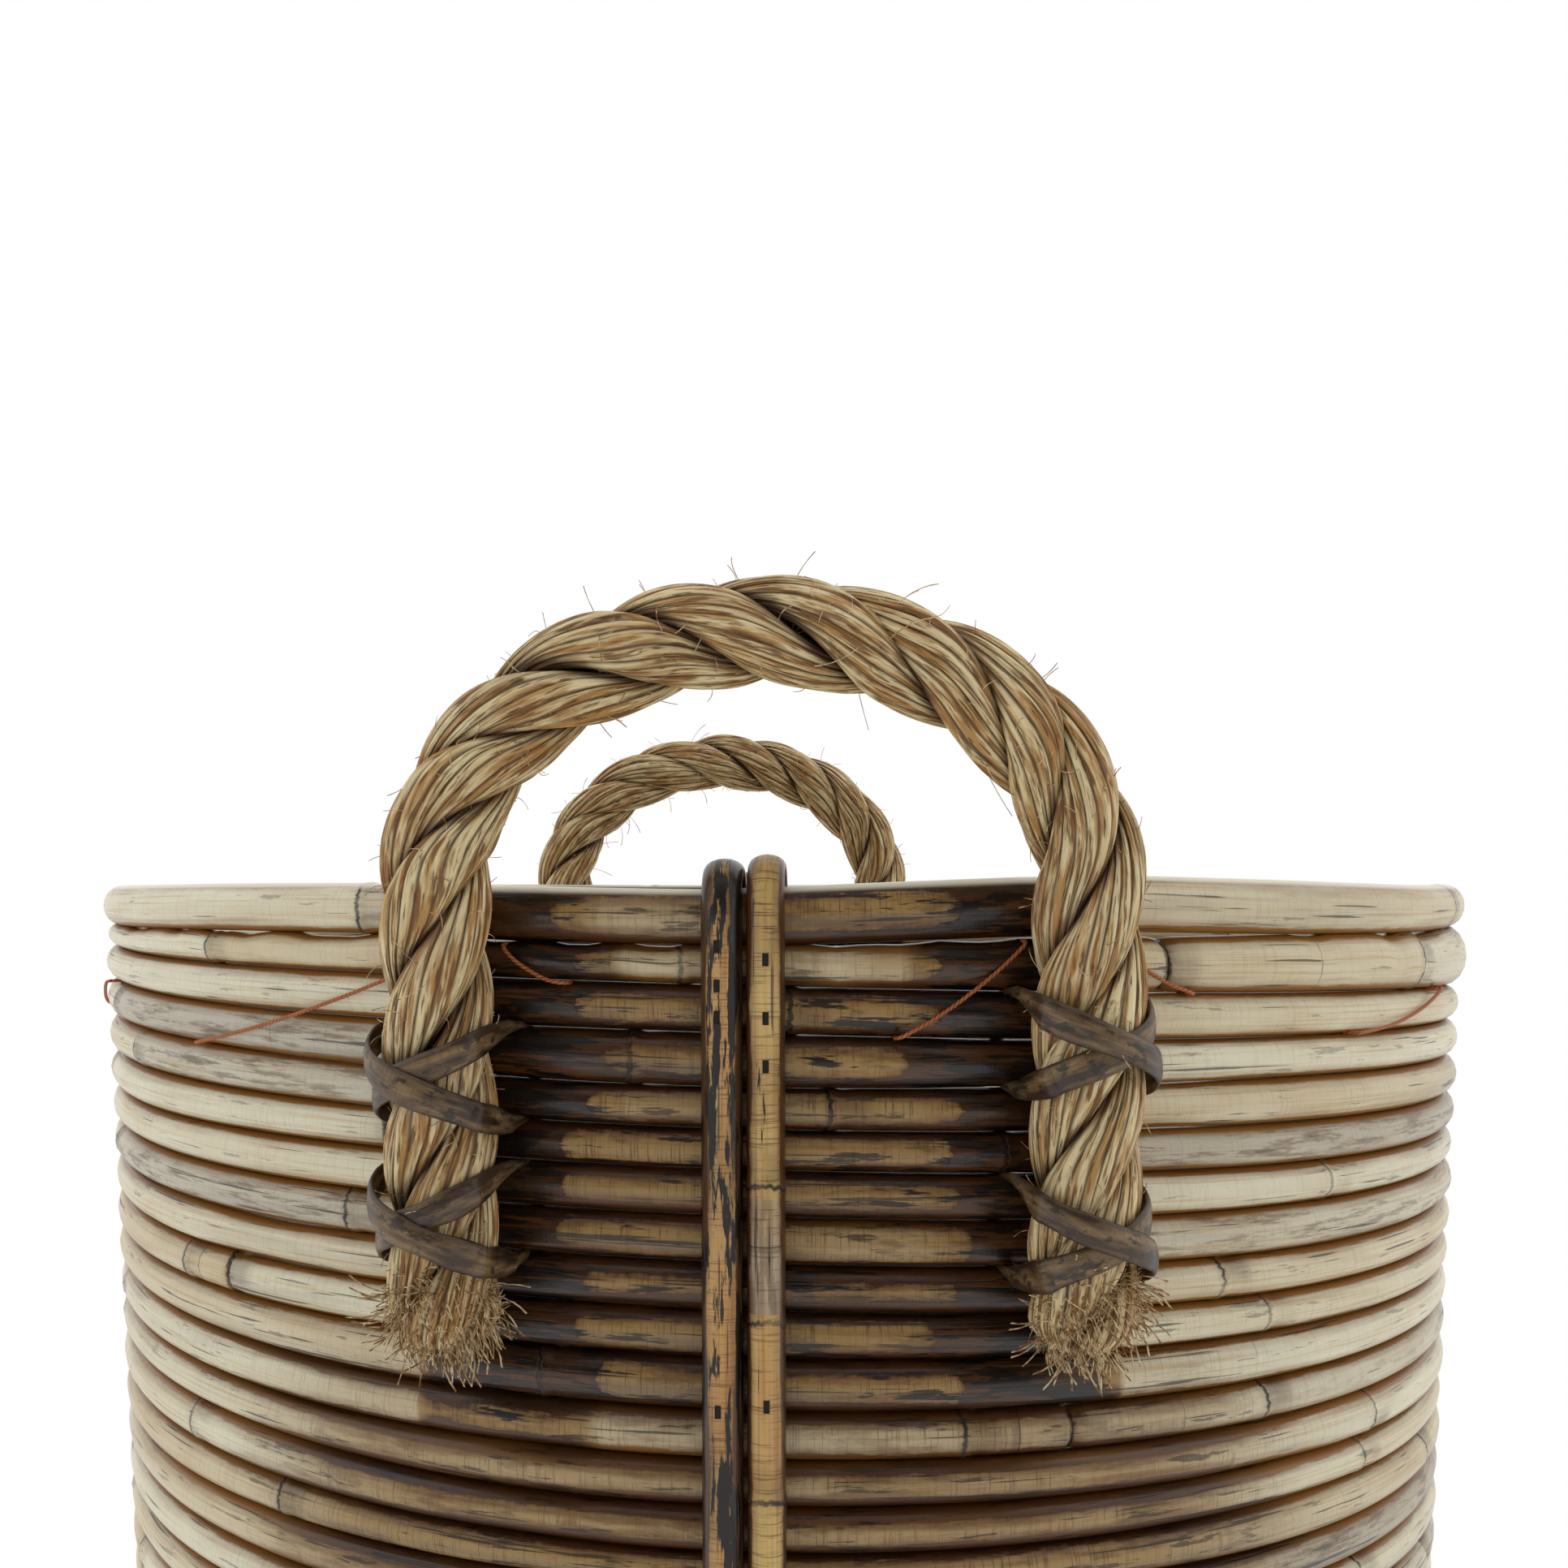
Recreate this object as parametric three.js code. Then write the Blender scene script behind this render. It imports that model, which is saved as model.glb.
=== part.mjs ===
// A round storage basket. Three strands of cane pole climb side by side as one coil between
// pairs of bent stakes, from a base hoop up to a thicker rim cane. The floor is a coil of the
// same cane on two bearers. Two rope handles are lashed to the wall with split cane.
// Millimetres and degrees, +Z up. The origin is on the basket's axis, where it stands.
// Angles are counted round that axis from the front, which is -Y, towards +X.
import * as THREE from 'three';

// Wall
const rimRadius = 225; // to the outer face of the rim cane
const wallSlope = 0.065; // how much the radius shrinks for each millimetre down
const courseCount = 28; // courses of cane between the base hoop and the rim cane
const coursePitch = 10.8; // from one course to the next
const caneWidth = 10.16; // across the corners of the six-sided wall cane
const strandCount = 3; // strands that climb together
const strandEndAngle = 112; // where the first strand runs out under the rim
const strandTips = [0.35, 0.35, 0.92]; // share of a course left where each strand's tip is cut
const firstJoints = [4.85, 1.27, 2.35]; // courses below the rim at each strand's first butt joint
const poleCourses = 6.37; // courses that one pole climbs
const shortestPole = 3; // courses, below which a pole is left joined to the one before
const tipRamp = 0.12; // share of a course over which a strand makes room for the next tip
const jointGap = 0.6; // between the butted ends of two poles
const widestStep = 18; // most degrees between two corners of a wall course

// Rim and base hoop
const rimHeight = 12;
const rimWidth = 10.8;
const rimGap = 1.5; // between the rim cane and the coil
const rimStep = 10; // most degrees between two corners of the rim cane
const hoopHeight = 11;
const hoopWidth = 10.8;

// Stakes: each is one cane bent over the rim, with a leg outside and a leg inside the wall
const stakeDiameter = 9; // across the flats
const stakeSpacing = 10; // between the two stakes of a pair
const stakesOffHandle = -1; // degrees from a handle's middle to the pair between its legs
const stakeBendThickness = 5.5; // where the cane is shaved to bend over the rim
const stakeBendPower = 0.8; // below 1 the bend is fuller, and keeps off the rim's shoulders
const stakeFootHeight = 1.5; // of the outer leg's foot above the ground

// Floor
const bearerHeight = 5;
const bearerWidth = 14;
const bearerSpacing = 150;
const bearerClearance = 1; // under the bearers
const floorPitch = 10.8; // from one turn of the floor coil to the next
const floorStep = 24; // degrees between two corners
const floorEyeRadius = 9; // of the innermost cane's middle

// Rope handles
const handleAngles = { front: -1.3, back: 187.3 };
const ropeDiameter = 26;
const handleWidth = 150; // between the middles of the two legs at the rim
const handleRise = 58.5; // from the rim's top to the middle of the rope at the crown
const ropeLegLength = 104; // below the rim's top
const hingeClearance = 0.2; // between the arch's ball ends and the cups in the legs
const cupLip = 1; // from the rope's surface in to a ball end's
const ropeSides = 12;
const archSteps = 15;
const handleLean = 25; // degrees that the arch leans in and out
const lipMargin = 10; // degrees that a cup's lip lies below the rope's edge at full lean
const cupDepth = 80; // degrees down round a cup to its lowest corners
const cupRings = 3; // of corners, from the lip down

// Lashings of split cane, which cross over the rope legs
const lashingWidth = 7;
const lashingThickness = 1.1;
const lashingReach = 6; // from the rope's side to where the lashing enters the wall
const lashingTail = 7; // of each end inside the wall
const lashingLooseness = 0.55; // between the lashing and the rope
const lashingSteps = 8; // over the rope
const lashingTwist = 2.2; // how far off the wall the lashing is half turned to lie on the rope
const leftLashings = [1, 4]; // whole courses above each lashing
const rightLashings = [1, 5];
const lashingCourses = 2; // courses between its upper and lower entries

// Twine that laces the upper courses together. A route's stops are holes where it passes through
// the wall, the first one outwards: degrees from the rope leg, and whole courses above the hole.
const twineDiameter = 1.1;
const twineSeat = 0.45; // between the twine and the cane
const twineTail = 6; // of each end inside the wall
const underRim = -1; // stands for the hole under the rim cane
const leftTwine = [[-58.9, 2], [-45.9, 1], [-24.6, 2], [-4.9, 0], [2.4, underRim], [6.5, 0]];
const rightTwine = [[-10.3, 2], [-2.4, underRim], [2.7, underRim], [9.4, 1], [25.2, 2], [39.9, 1]];

// Fit
const seatGap = 0.3; // between touching pieces
const insideGap = 0.45; // between the wall's inner face and what runs along it

// Sizes that follow from those above
const caneHeight = caneWidth * Math.cos(Math.PI / 6);
const courseGap = coursePitch - caneHeight;
const coilBase = hoopHeight + seatGap - courseGap / 2;
const coilTop = coilBase + coursePitch * courseCount;
const rimBottom = coilTop - courseGap / 2 + rimGap;
const rimTop = rimBottom + rimHeight;
const rimMiddle = rimBottom + rimHeight / 2;
const courseTurn = 360 / strandCount; // degrees in which a strand climbs one course
const legRadius = rimRadius + seatGap + ropeDiameter / 2; // to the rope leg's middle at the rim
const legTurn = THREE.MathUtils.radToDeg(Math.asin(handleWidth / 2 / legRadius));
const stakeOffset = rimWidth / 2 + seatGap + stakeDiameter / 2; // leg's middle to the wall's middle
const stakeTurn = THREE.MathUtils.radToDeg(Math.asin(stakeSpacing / 2 / rimRadius));
const stakeAngles = {
  front: handleAngles.front + stakesOffHandle,
  back: handleAngles.back + stakesOffHandle,
};

const colours = {
  cane: new THREE.MeshStandardMaterial({ color: 0xb49a6c, roughness: 0.45, metalness: 0 }),
  darkCane: new THREE.MeshStandardMaterial({ color: 0x8a6a3e, roughness: 0.45, metalness: 0 }),
  rope: new THREE.MeshStandardMaterial({ color: 0xb08a55, roughness: 0.9, metalness: 0 }),
  lashing: new THREE.MeshStandardMaterial({ color: 0x5f4a30, roughness: 0.5, metalness: 0 }),
  twine: new THREE.MeshStandardMaterial({ color: 0xc0703a, roughness: 0.6, metalness: 0 }),
};

const basket = new THREE.Group();

function add(name, geometry, material) {
  const mesh = new THREE.Mesh(geometry, material);
  mesh.name = name;
  basket.add(mesh);
}

// Directions and places round the basket's axis

const up = new THREE.Vector3(0, 0, 1);
const cosDegrees = (angle) => Math.cos(THREE.MathUtils.degToRad(angle));
const sinDegrees = (angle) => Math.sin(THREE.MathUtils.degToRad(angle));
const outward = (angle) => new THREE.Vector3(sinDegrees(angle), -cosDegrees(angle), 0);
const sideways = (angle) => new THREE.Vector3(cosDegrees(angle), sinDegrees(angle), 0);

function place(angle, radius, height, aside = 0) {
  return outward(angle).multiplyScalar(radius).addScaledVector(sideways(angle), aside).setZ(height);
}

// Radius of the middle of the wall's thickness at a height.
function wallRadius(height) {
  return rimRadius - rimWidth / 2 - wallSlope * (rimMiddle - height);
}

// Closed bodies made of rings of points

// The corners of one section, measured across its flats along two directions.
function section(middle, across, along, width, height, sides) {
  const corners = [];
  const reach = 1 / Math.cos(Math.PI / sides) / 2;
  for (let k = 0; k < sides; k++) {
    const turn = (Math.PI * (2 * k + 1)) / sides;
    corners.push(
      middle
        .clone()
        .addScaledVector(across, width * reach * Math.cos(turn))
        .addScaledVector(along, height * reach * Math.sin(turn)),
    );
  }
  return corners;
}

function centreOf(points) {
  const sum = new THREE.Vector3();
  points.forEach((point) => sum.add(point));
  return sum.divideScalar(points.length);
}

// Six times the volume that the faces enclose, negative when they point inwards.
function signedVolume(corners, faces) {
  let sum = 0;
  for (let f = 0; f < faces.length; f += 3) {
    const [a, b, c] = [corners[faces[f]], corners[faces[f + 1]], corners[faces[f + 2]]];
    sum += a.dot(b.clone().cross(c));
  }
  return sum;
}

// A skin over rings with equal numbers of corners. Each end is closed by strips between mirrored
// corners, so an end can be round about the line that the corners mirror in. Between twisted rings
// each pair of triangles meets along the edge that lies farther out, or the skin would fold.
function skin(rings, { joinsUp = false, twisted = false } = {}) {
  const sides = rings[0].length;
  const corners = rings.flat();
  const faces = [];
  const spans = joinsUp ? rings.length : rings.length - 1;
  for (let i = 0; i < spans; i++) {
    const here = i * sides;
    const there = ((i + 1) % rings.length) * sides;
    const middle = centreOf(rings[i]).lerp(centreOf(rings[(i + 1) % rings.length]), 0.5);
    const reach = (a, b) => middle.distanceTo(corners[a].clone().lerp(corners[b], 0.5));
    for (let k = 0; k < sides; k++) {
      const next = (k + 1) % sides;
      const [a, b, c, d] = [here + k, here + next, there + next, there + k];
      if (twisted && reach(b, d) > reach(a, c)) {
        faces.push(a, b, d, b, c, d);
      } else {
        faces.push(a, b, c, a, c, d);
      }
    }
  }
  if (!joinsUp) {
    const end = corners.length - sides;
    for (let k = 0; k < sides / 2 - 1; k++) {
      const mirrored = sides - 1 - k;
      faces.push(k, mirrored - 1, k + 1, k, mirrored, mirrored - 1);
      faces.push(end + k, end + k + 1, end + mirrored - 1);
      faces.push(end + k, end + mirrored - 1, end + mirrored);
    }
  }
  if (signedVolume(corners, faces) < 0) {
    faces.reverse();
  }
  const geometry = new THREE.BufferGeometry();
  const numbers = corners.flatMap((corner) => corner.toArray());
  geometry.setAttribute('position', new THREE.Float32BufferAttribute(numbers, 3));
  geometry.setIndex(faces);
  return geometry;
}

// Corners of the rings: one where something is fastened, and even steps between those.

const fixedAngles = [
  ...Object.values(stakeAngles).flatMap((angle) => [angle - stakeTurn, angle + stakeTurn]),
  ...Object.values(handleAngles).flatMap((angle) => [angle - legTurn, angle + legTurn]),
]
  .map((angle) => THREE.MathUtils.euclideanModulo(angle, 360))
  .sort((a, b) => a - b);

function cornerAngles(widest) {
  const corners = [];
  fixedAngles.forEach((angle, i) => {
    const next = i + 1 < fixedAngles.length ? fixedAngles[i + 1] : fixedAngles[0] + 360;
    const steps = Math.ceil((next - angle) / widest);
    for (let k = 0; k < steps; k++) {
      corners.push(angle + ((next - angle) * k) / steps);
    }
  });
  return corners;
}

const wallCorners = cornerAngles(widestStep);

// The two corners that an angle lies between.
function sideCorners(angle) {
  const turned = THREE.MathUtils.euclideanModulo(angle - wallCorners[0], 360) + wallCorners[0];
  const next = wallCorners.findIndex((corner) => corner > turned + 1e-9);
  const from = wallCorners[next < 0 ? wallCorners.length - 1 : next - 1];
  const to = next < 0 ? wallCorners[0] + 360 : wallCorners[next];
  return { from, to, middle: (from + to) / 2, turned };
}

// How far in the straight side between two corners lies, as a share of the radius at the corners.
function sideShare(angle) {
  const side = sideCorners(angle);
  return cosDegrees((side.to - side.from) / 2) / cosDegrees(side.turned - side.middle);
}

// A place on the wall's own faces: off is measured outwards from its outer corners.
function wallPlace(angle, height, off) {
  return place(angle, sideShare(angle) * (wallRadius(height) + caneWidth / 2) + off, height);
}

function hoop(height, width, middle, widest) {
  const rings = cornerAngles(widest).map((angle) =>
    section(place(angle, wallRadius(middle), middle), outward(angle), up, width, height, 8),
  );
  return skin(rings, { joinsUp: true });
}

// The coil. "Down" counts courses from the coil's top to a strand's lower edge.

function strandStart(strand) {
  return strandEndAngle + courseTurn * strand;
}

// The height at an angle of the joint that has so many whole courses above it at another angle.
function jointHeight(courses, countedAt, angle) {
  const share = THREE.MathUtils.euclideanModulo((countedAt - strandEndAngle) / courseTurn, 1);
  return coilTop - coursePitch * (courses + share + (angle - countedAt) / courseTurn);
}

// How far down a strand lies where the next strand's tip begins above it.
function tipAbove(strand) {
  return 1 + strandTips[(strand + 1) % strandCount];
}

// A strand keeps touching the rim until it makes room for that tip.
function strandTop(strand, down) {
  const level = coilTop - coursePitch * (down - 1);
  const fullness = THREE.MathUtils.clamp((tipAbove(strand) - down) / tipRamp, 0, 1);
  return Math.min(coilTop, THREE.MathUtils.lerp(level, Math.max(level, coilTop), fullness));
}

function poleSection(strand, down) {
  const angle = strandStart(strand) + courseTurn * down;
  const top = strandTop(strand, down) - courseGap / 2;
  const bottom = Math.max(coilTop - coursePitch * down, coilBase) + courseGap / 2;
  const middle = (top + bottom) / 2;
  const radius = sideShare(angle) * wallRadius(middle);
  return section(place(angle, radius, middle), up, outward(angle), top - bottom, caneHeight, 6);
}

function pole(strand, from, to) {
  const first = strandStart(strand) + courseTurn * from;
  const last = strandStart(strand) + courseTurn * to;
  const ramp = [tipAbove(strand) - tipRamp, tipAbove(strand)];
  const angles = [first, last, ...ramp.map((down) => strandStart(strand) + courseTurn * down)];
  for (let turn = Math.floor(first / 360) - 1; turn * 360 < last; turn++) {
    angles.push(...wallCorners.map((corner) => corner + 360 * turn));
  }
  const kept = angles.filter((a) => a === first || a === last || (a > first + 1 && a < last - 1));
  kept.sort((a, b) => a - b);
  return skin(kept.map((angle) => poleSection(strand, (angle - strandStart(strand)) / courseTurn)));
}

for (let strand = 0; strand < strandCount; strand++) {
  const last = courseCount + 1 - strandTips[0];
  const halfGap = jointGap / 2 / (rimRadius * THREE.MathUtils.degToRad(courseTurn));
  const joints = [strandTips[strand]];
  for (let down = firstJoints[strand]; down < last - shortestPole; down += poleCourses) {
    joints.push(down);
  }
  joints.push(last);
  for (let k = 0; k < joints.length - 1; k++) {
    const name = `wall_pole_${'abc'[strand]}${k + 1}`;
    add(name, pole(strand, joints[k] + halfGap, joints[k + 1] - halfGap), colours.cane);
  }
}

// Rim cane and base hoop

add('rim_cane', hoop(rimHeight, rimWidth, rimMiddle, rimStep), colours.cane);
add('base_hoop', hoop(hoopHeight, hoopWidth, hoopHeight / 2, widestStep), colours.darkCane);

// Floor: two bearers inside the hoop, and a coil of cane on them

const floorBottom = bearerClearance + bearerHeight + seatGap;
const floorTop = floorBottom + caneHeight;
const hoopInside = (wallRadius(0) - hoopWidth / 2) * cosDegrees(widestStep / 2) - seatGap;

function floorCoil() {
  const outermost = hoopInside - caneWidth / 2;
  const rings = [];
  let angle = 0;
  let radius = outermost;
  while (radius > floorEyeRadius) {
    const middle = place(angle, radius, (floorBottom + floorTop) / 2);
    rings.push(section(middle, up, outward(angle), caneHeight, caneHeight, 6));
    angle += floorStep;
    radius = outermost - (floorPitch * angle) / 360;
  }
  const gap = leastGap(rings, 4 * floorPitch).toFixed(2);
  console.log(`floor coil: ${(angle / 360).toFixed(1)} turns, least gap ${gap} mm`);
  return skin(rings);
}

// The least distance between points of the skin that lie further apart along it than a given run.
function leastGap(rings, run) {
  const points = rings.map((ring) => {
    const between = ring.map((p, k) => p.clone().lerp(ring[(k + 1) % ring.length], 0.5));
    return [...ring, ...between];
  });
  const middles = rings.map((ring) => ring[0].clone().lerp(ring[ring.length / 2], 0.5));
  const along = [0];
  for (let i = 1; i < middles.length; i++) {
    along.push(along[i - 1] + middles[i].distanceTo(middles[i - 1]));
  }
  let least = Infinity;
  for (let i = 0; i < rings.length; i++) {
    for (let j = i + 1; j < rings.length; j++) {
      if (along[j] - along[i] > run) {
        for (const a of points[i]) {
          for (const b of points[j]) {
            least = Math.min(least, a.distanceTo(b));
          }
        }
      }
    }
  }
  return least;
}

add('floor_coil', floorCoil(), colours.cane);

for (const [side, sign] of [['left', -1], ['right', 1]]) {
  const aside = (sign * bearerSpacing) / 2;
  const reach = Math.sqrt(hoopInside ** 2 - (bearerSpacing / 2 + bearerWidth / 2) ** 2);
  const ends = [-reach, reach].map((end) => {
    const middle = new THREE.Vector3(aside, end, bearerClearance + bearerHeight / 2);
    return section(middle, new THREE.Vector3(1, 0, 0), up, bearerWidth, bearerHeight, 8);
  });
  add(`floor_bearer_${side}`, skin(ends), colours.darkCane);
}

// Stakes

function stake(angle, aside) {
  const rings = [];
  const leg = (height, sign) => {
    const middle = place(angle, wallRadius(height) + sign * stakeOffset, height, aside);
    const normal = outward(angle).multiplyScalar(sign);
    rings.push(section(middle, sideways(angle), normal, stakeDiameter, stakeDiameter, 8));
  };
  leg(stakeFootHeight, 1);
  leg((stakeFootHeight + rimMiddle) / 2, 1);
  const bendSteps = 6;
  const crown = rimHeight / 2 + 2 * seatGap + stakeBendThickness / 2;
  for (let k = 0; k <= bendSteps; k++) {
    const turn = (180 * k) / bendSteps;
    const out = Math.sign(cosDegrees(turn)) * Math.abs(cosDegrees(turn)) ** stakeBendPower;
    const radius = wallRadius(rimMiddle) + stakeOffset * out;
    const rise = crown * Math.abs(sinDegrees(turn)) ** stakeBendPower;
    const middle = place(angle, radius, rimMiddle + rise, aside);
    const normal = outward(angle).multiplyScalar(cosDegrees(turn)).addScaledVector(up, sinDegrees(turn));
    const thickness = THREE.MathUtils.lerp(stakeDiameter, stakeBendThickness, sinDegrees(turn));
    rings.push(section(middle, sideways(angle), normal, stakeDiameter, thickness, 8));
  }
  leg(floorTop + seatGap, -1);
  return skin(rings);
}

for (const [face, angle] of Object.entries(stakeAngles)) {
  add(`stake_${face}_left`, stake(angle, -stakeSpacing / 2), colours.darkCane);
  add(`stake_${face}_right`, stake(angle, stakeSpacing / 2), colours.darkCane);
}

// Rope handles: an arch that leans about the tops of its two legs, and the legs on the wall

const ropeFlats = ropeDiameter * Math.cos(Math.PI / ropeSides);
const hingeOut = legRadius * cosDegrees(legTurn); // from the basket's axis to the hinge line

function legMiddle(angle, height) {
  return place(angle, legRadius - wallSlope * (rimMiddle - Math.min(height, rimMiddle)), height);
}

function ropeSection(middle, along, handleAngle) {
  return section(middle, along, outward(handleAngle), ropeFlats, ropeFlats, ropeSides);
}

// Swings the corners of a level ring down about the hinge line, each on an arc of its own, and
// draws them in to a share of the ring's size.
function swungDown(middle, ring, handleAngle, turn, share) {
  return ring.map((corner) => {
    const reach = corner.clone().sub(middle).multiplyScalar(share);
    const off = reach.dot(outward(handleAngle));
    return middle
      .clone()
      .add(reach)
      .addScaledVector(outward(handleAngle), off * (cosDegrees(turn) - 1))
      .addScaledVector(up, -Math.abs(off) * sinDegrees(turn));
  });
}

const cupStep = (cupDepth - handleLean - lipMargin) / (cupRings - 1);
const cupTurns = Array.from({ length: cupRings }, (_, k) => cupDepth - cupStep * k);
const ballShare = 1 - cupLip / (ropeDiameter / 2);
const cupShare = (ballShare + hingeClearance / (ropeDiameter / 2)) / cosDegrees(cupStep / 2);

// The ball's corners meet the middles of the cup's faces. Its top ones stay above the lip.
function ball(middle, ring, handleAngle) {
  const turns = [...cupTurns.slice(0, -1).map((turn) => turn - cupStep / 2), lipMargin];
  return turns.map((turn) => swungDown(middle, ring, handleAngle, turn, ballShare));
}

function cup(middle, ring, handleAngle) {
  return cupTurns.map((turn) => swungDown(middle, ring, handleAngle, turn, cupShare));
}

function arch(handleAngle) {
  const middles = [];
  const rings = [];
  for (let k = 0; k <= archSteps; k++) {
    const turn = (180 * k) / archSteps;
    const aside = (handleWidth / 2) * cosDegrees(turn);
    const middle = place(handleAngle, hingeOut, rimTop + handleRise * sinDegrees(turn), aside);
    const normal = sideways(handleAngle)
      .multiplyScalar(handleRise * cosDegrees(turn))
      .addScaledVector(up, (handleWidth / 2) * sinDegrees(turn))
      .normalize();
    middles.push(middle);
    rings.push(ropeSection(middle, normal, handleAngle));
  }
  const [firstBall, lastBall] = [0, archSteps].map((k) => ball(middles[k], rings[k], handleAngle));
  return skin([...firstBall, ...rings, ...lastBall.reverse()]);
}

function ropeLeg(handleAngle, side) {
  const angle = handleAngle + side * legTurn;
  const ring = (height) => ropeSection(legMiddle(angle, height), sideways(handleAngle), handleAngle);
  const insideCup = cup(legMiddle(angle, rimTop), ring(rimTop), handleAngle);
  const lip = ring(rimTop).map((corner, k) => corner.setZ(insideCup[cupRings - 1][k].z));
  return skin([...insideCup, lip, ring(rimTop - ropeDiameter), ring(rimTop - ropeLegLength)]);
}

for (const [face, angle] of Object.entries(handleAngles)) {
  add(`handle_${face}_arch`, arch(angle), colours.rope);
  add(`handle_${face}_leg_left`, ropeLeg(angle, -1), colours.rope);
  add(`handle_${face}_leg_right`, ropeLeg(angle, 1), colours.rope);
}

// Split cane and twine: flat bands along a route, each stop with its place and its face's direction

function band(stops, width, thickness) {
  const rings = stops.map((stop, i) => {
    const before = stops[Math.max(i - 1, 0)];
    const after = stops[Math.min(i + 1, stops.length - 1)];
    const ahead = after.at.clone().sub(before.at).normalize();
    const face = stop.face.clone().addScaledVector(ahead, -stop.face.dot(ahead)).normalize();
    return section(stop.at, ahead.clone().cross(face), face, width, thickness, 4);
  });
  return rings;
}

// One lashing: in through the wall beside the rope, over it both ways, and round behind the wall.
function lashing(handleAngle, side, courses) {
  const legAngle = handleAngle + side * legTurn;
  const inner = -side; // the way to the handle's middle
  const around = ropeDiameter / 2 + lashingLooseness + lashingThickness / 2;
  const run = { outer: -around, inner: ropeDiameter / 2 + lashingReach };
  const inside = -caneWidth - insideGap - lashingThickness / 2;
  const angleAt = (end) => legAngle + inner * THREE.MathUtils.radToDeg(run[end] / legRadius);
  const heightAt = (end, below) => jointHeight(courses + below, legAngle, angleAt(end));
  const wallFace = (end) => outward(sideCorners(angleAt(end)).middle).negate();
  const stops = [];

  const onWall = (end, below, lift, off, face) => {
    const at = wallPlace(angleAt(end), heightAt(end, below), off);
    stops.push({ at: at.setZ(at.z + lift), face });
  };
  // From the inner face out through the wall, or back in. Lift is the way it turns inside.
  const through = (end, below, lift, outwards) => {
    const flat = up.clone().multiplyScalar(Math.sign(lift));
    const besideRope = sideways(legAngle).multiplyScalar(end === 'inner' ? inner : -inner);
    const passage = [
      () => onWall(end, below, 2.5 * Math.sign(lift), inside, wallFace(end)),
      () => onWall(end, below, 0, -caneWidth, flat),
      () => onWall(end, below, 0, -caneWidth * 0.75, flat),
      () => onWall(end, below, 0, -caneWidth * 0.25, flat),
      () => onWall(end, below, 0, lashingTwist, flat.clone().add(besideRope)),
    ];
    (outwards ? passage : passage.reverse()).forEach((step) => step());
  };
  // Over the rope: turns are counted round it from its outermost line.
  const overRope = (from, to, lift) => {
    const turns = { outer: -95, inner: 68 };
    for (let k = 0; k <= lashingSteps; k++) {
      const share = k / lashingSteps;
      const turn = THREE.MathUtils.lerp(turns[from.end], turns[to.end], share);
      const climb = THREE.MathUtils.lerp(0.12, 0.88, share);
      const start = heightAt(from.end, from.below);
      const height = THREE.MathUtils.lerp(start, heightAt(to.end, to.below), climb);
      const face = outward(legAngle).multiplyScalar(cosDegrees(turn));
      face.addScaledVector(sideways(legAngle), inner * sinDegrees(turn));
      stops.push({ at: legMiddle(legAngle, height).addScaledVector(face, around + lift), face });
    }
  };
  const upper = { outer: { end: 'outer', below: 0 }, inner: { end: 'inner', below: 0 } };
  const lower = {
    outer: { end: 'outer', below: lashingCourses },
    inner: { end: 'inner', below: lashingCourses },
  };
  onWall('outer', 0, -lashingTail, inside, wallFace('outer'));
  through('outer', 0, -1, true);
  overRope(upper.outer, lower.inner, 0);
  through('inner', lashingCourses, 1, false);
  through('inner', 0, -1, true);
  overRope(upper.inner, lower.outer, lashingThickness + 2 * seatGap);
  through('outer', lashingCourses, 1, false);
  onWall('outer', lashingCourses, lashingTail, inside, wallFace('outer'));
  return band(stops, lashingWidth, lashingThickness);
}

for (const [face, angle] of Object.entries(handleAngles)) {
  for (const [sideName, side, courses] of [['left', -1, leftLashings], ['right', 1, rightLashings]]) {
    courses.forEach((course, k) => {
      const name = `lashing_${face}_${sideName}_${['upper', 'lower'][k]}`;
      const rings = lashing(angle, side, course);
      console.log(`${name}: least gap ${leastGap(rings, 3 * lashingWidth).toFixed(2)} mm`);
      add(name, skin(rings, { twisted: true }), colours.lashing);
    });
  }
}

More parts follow.
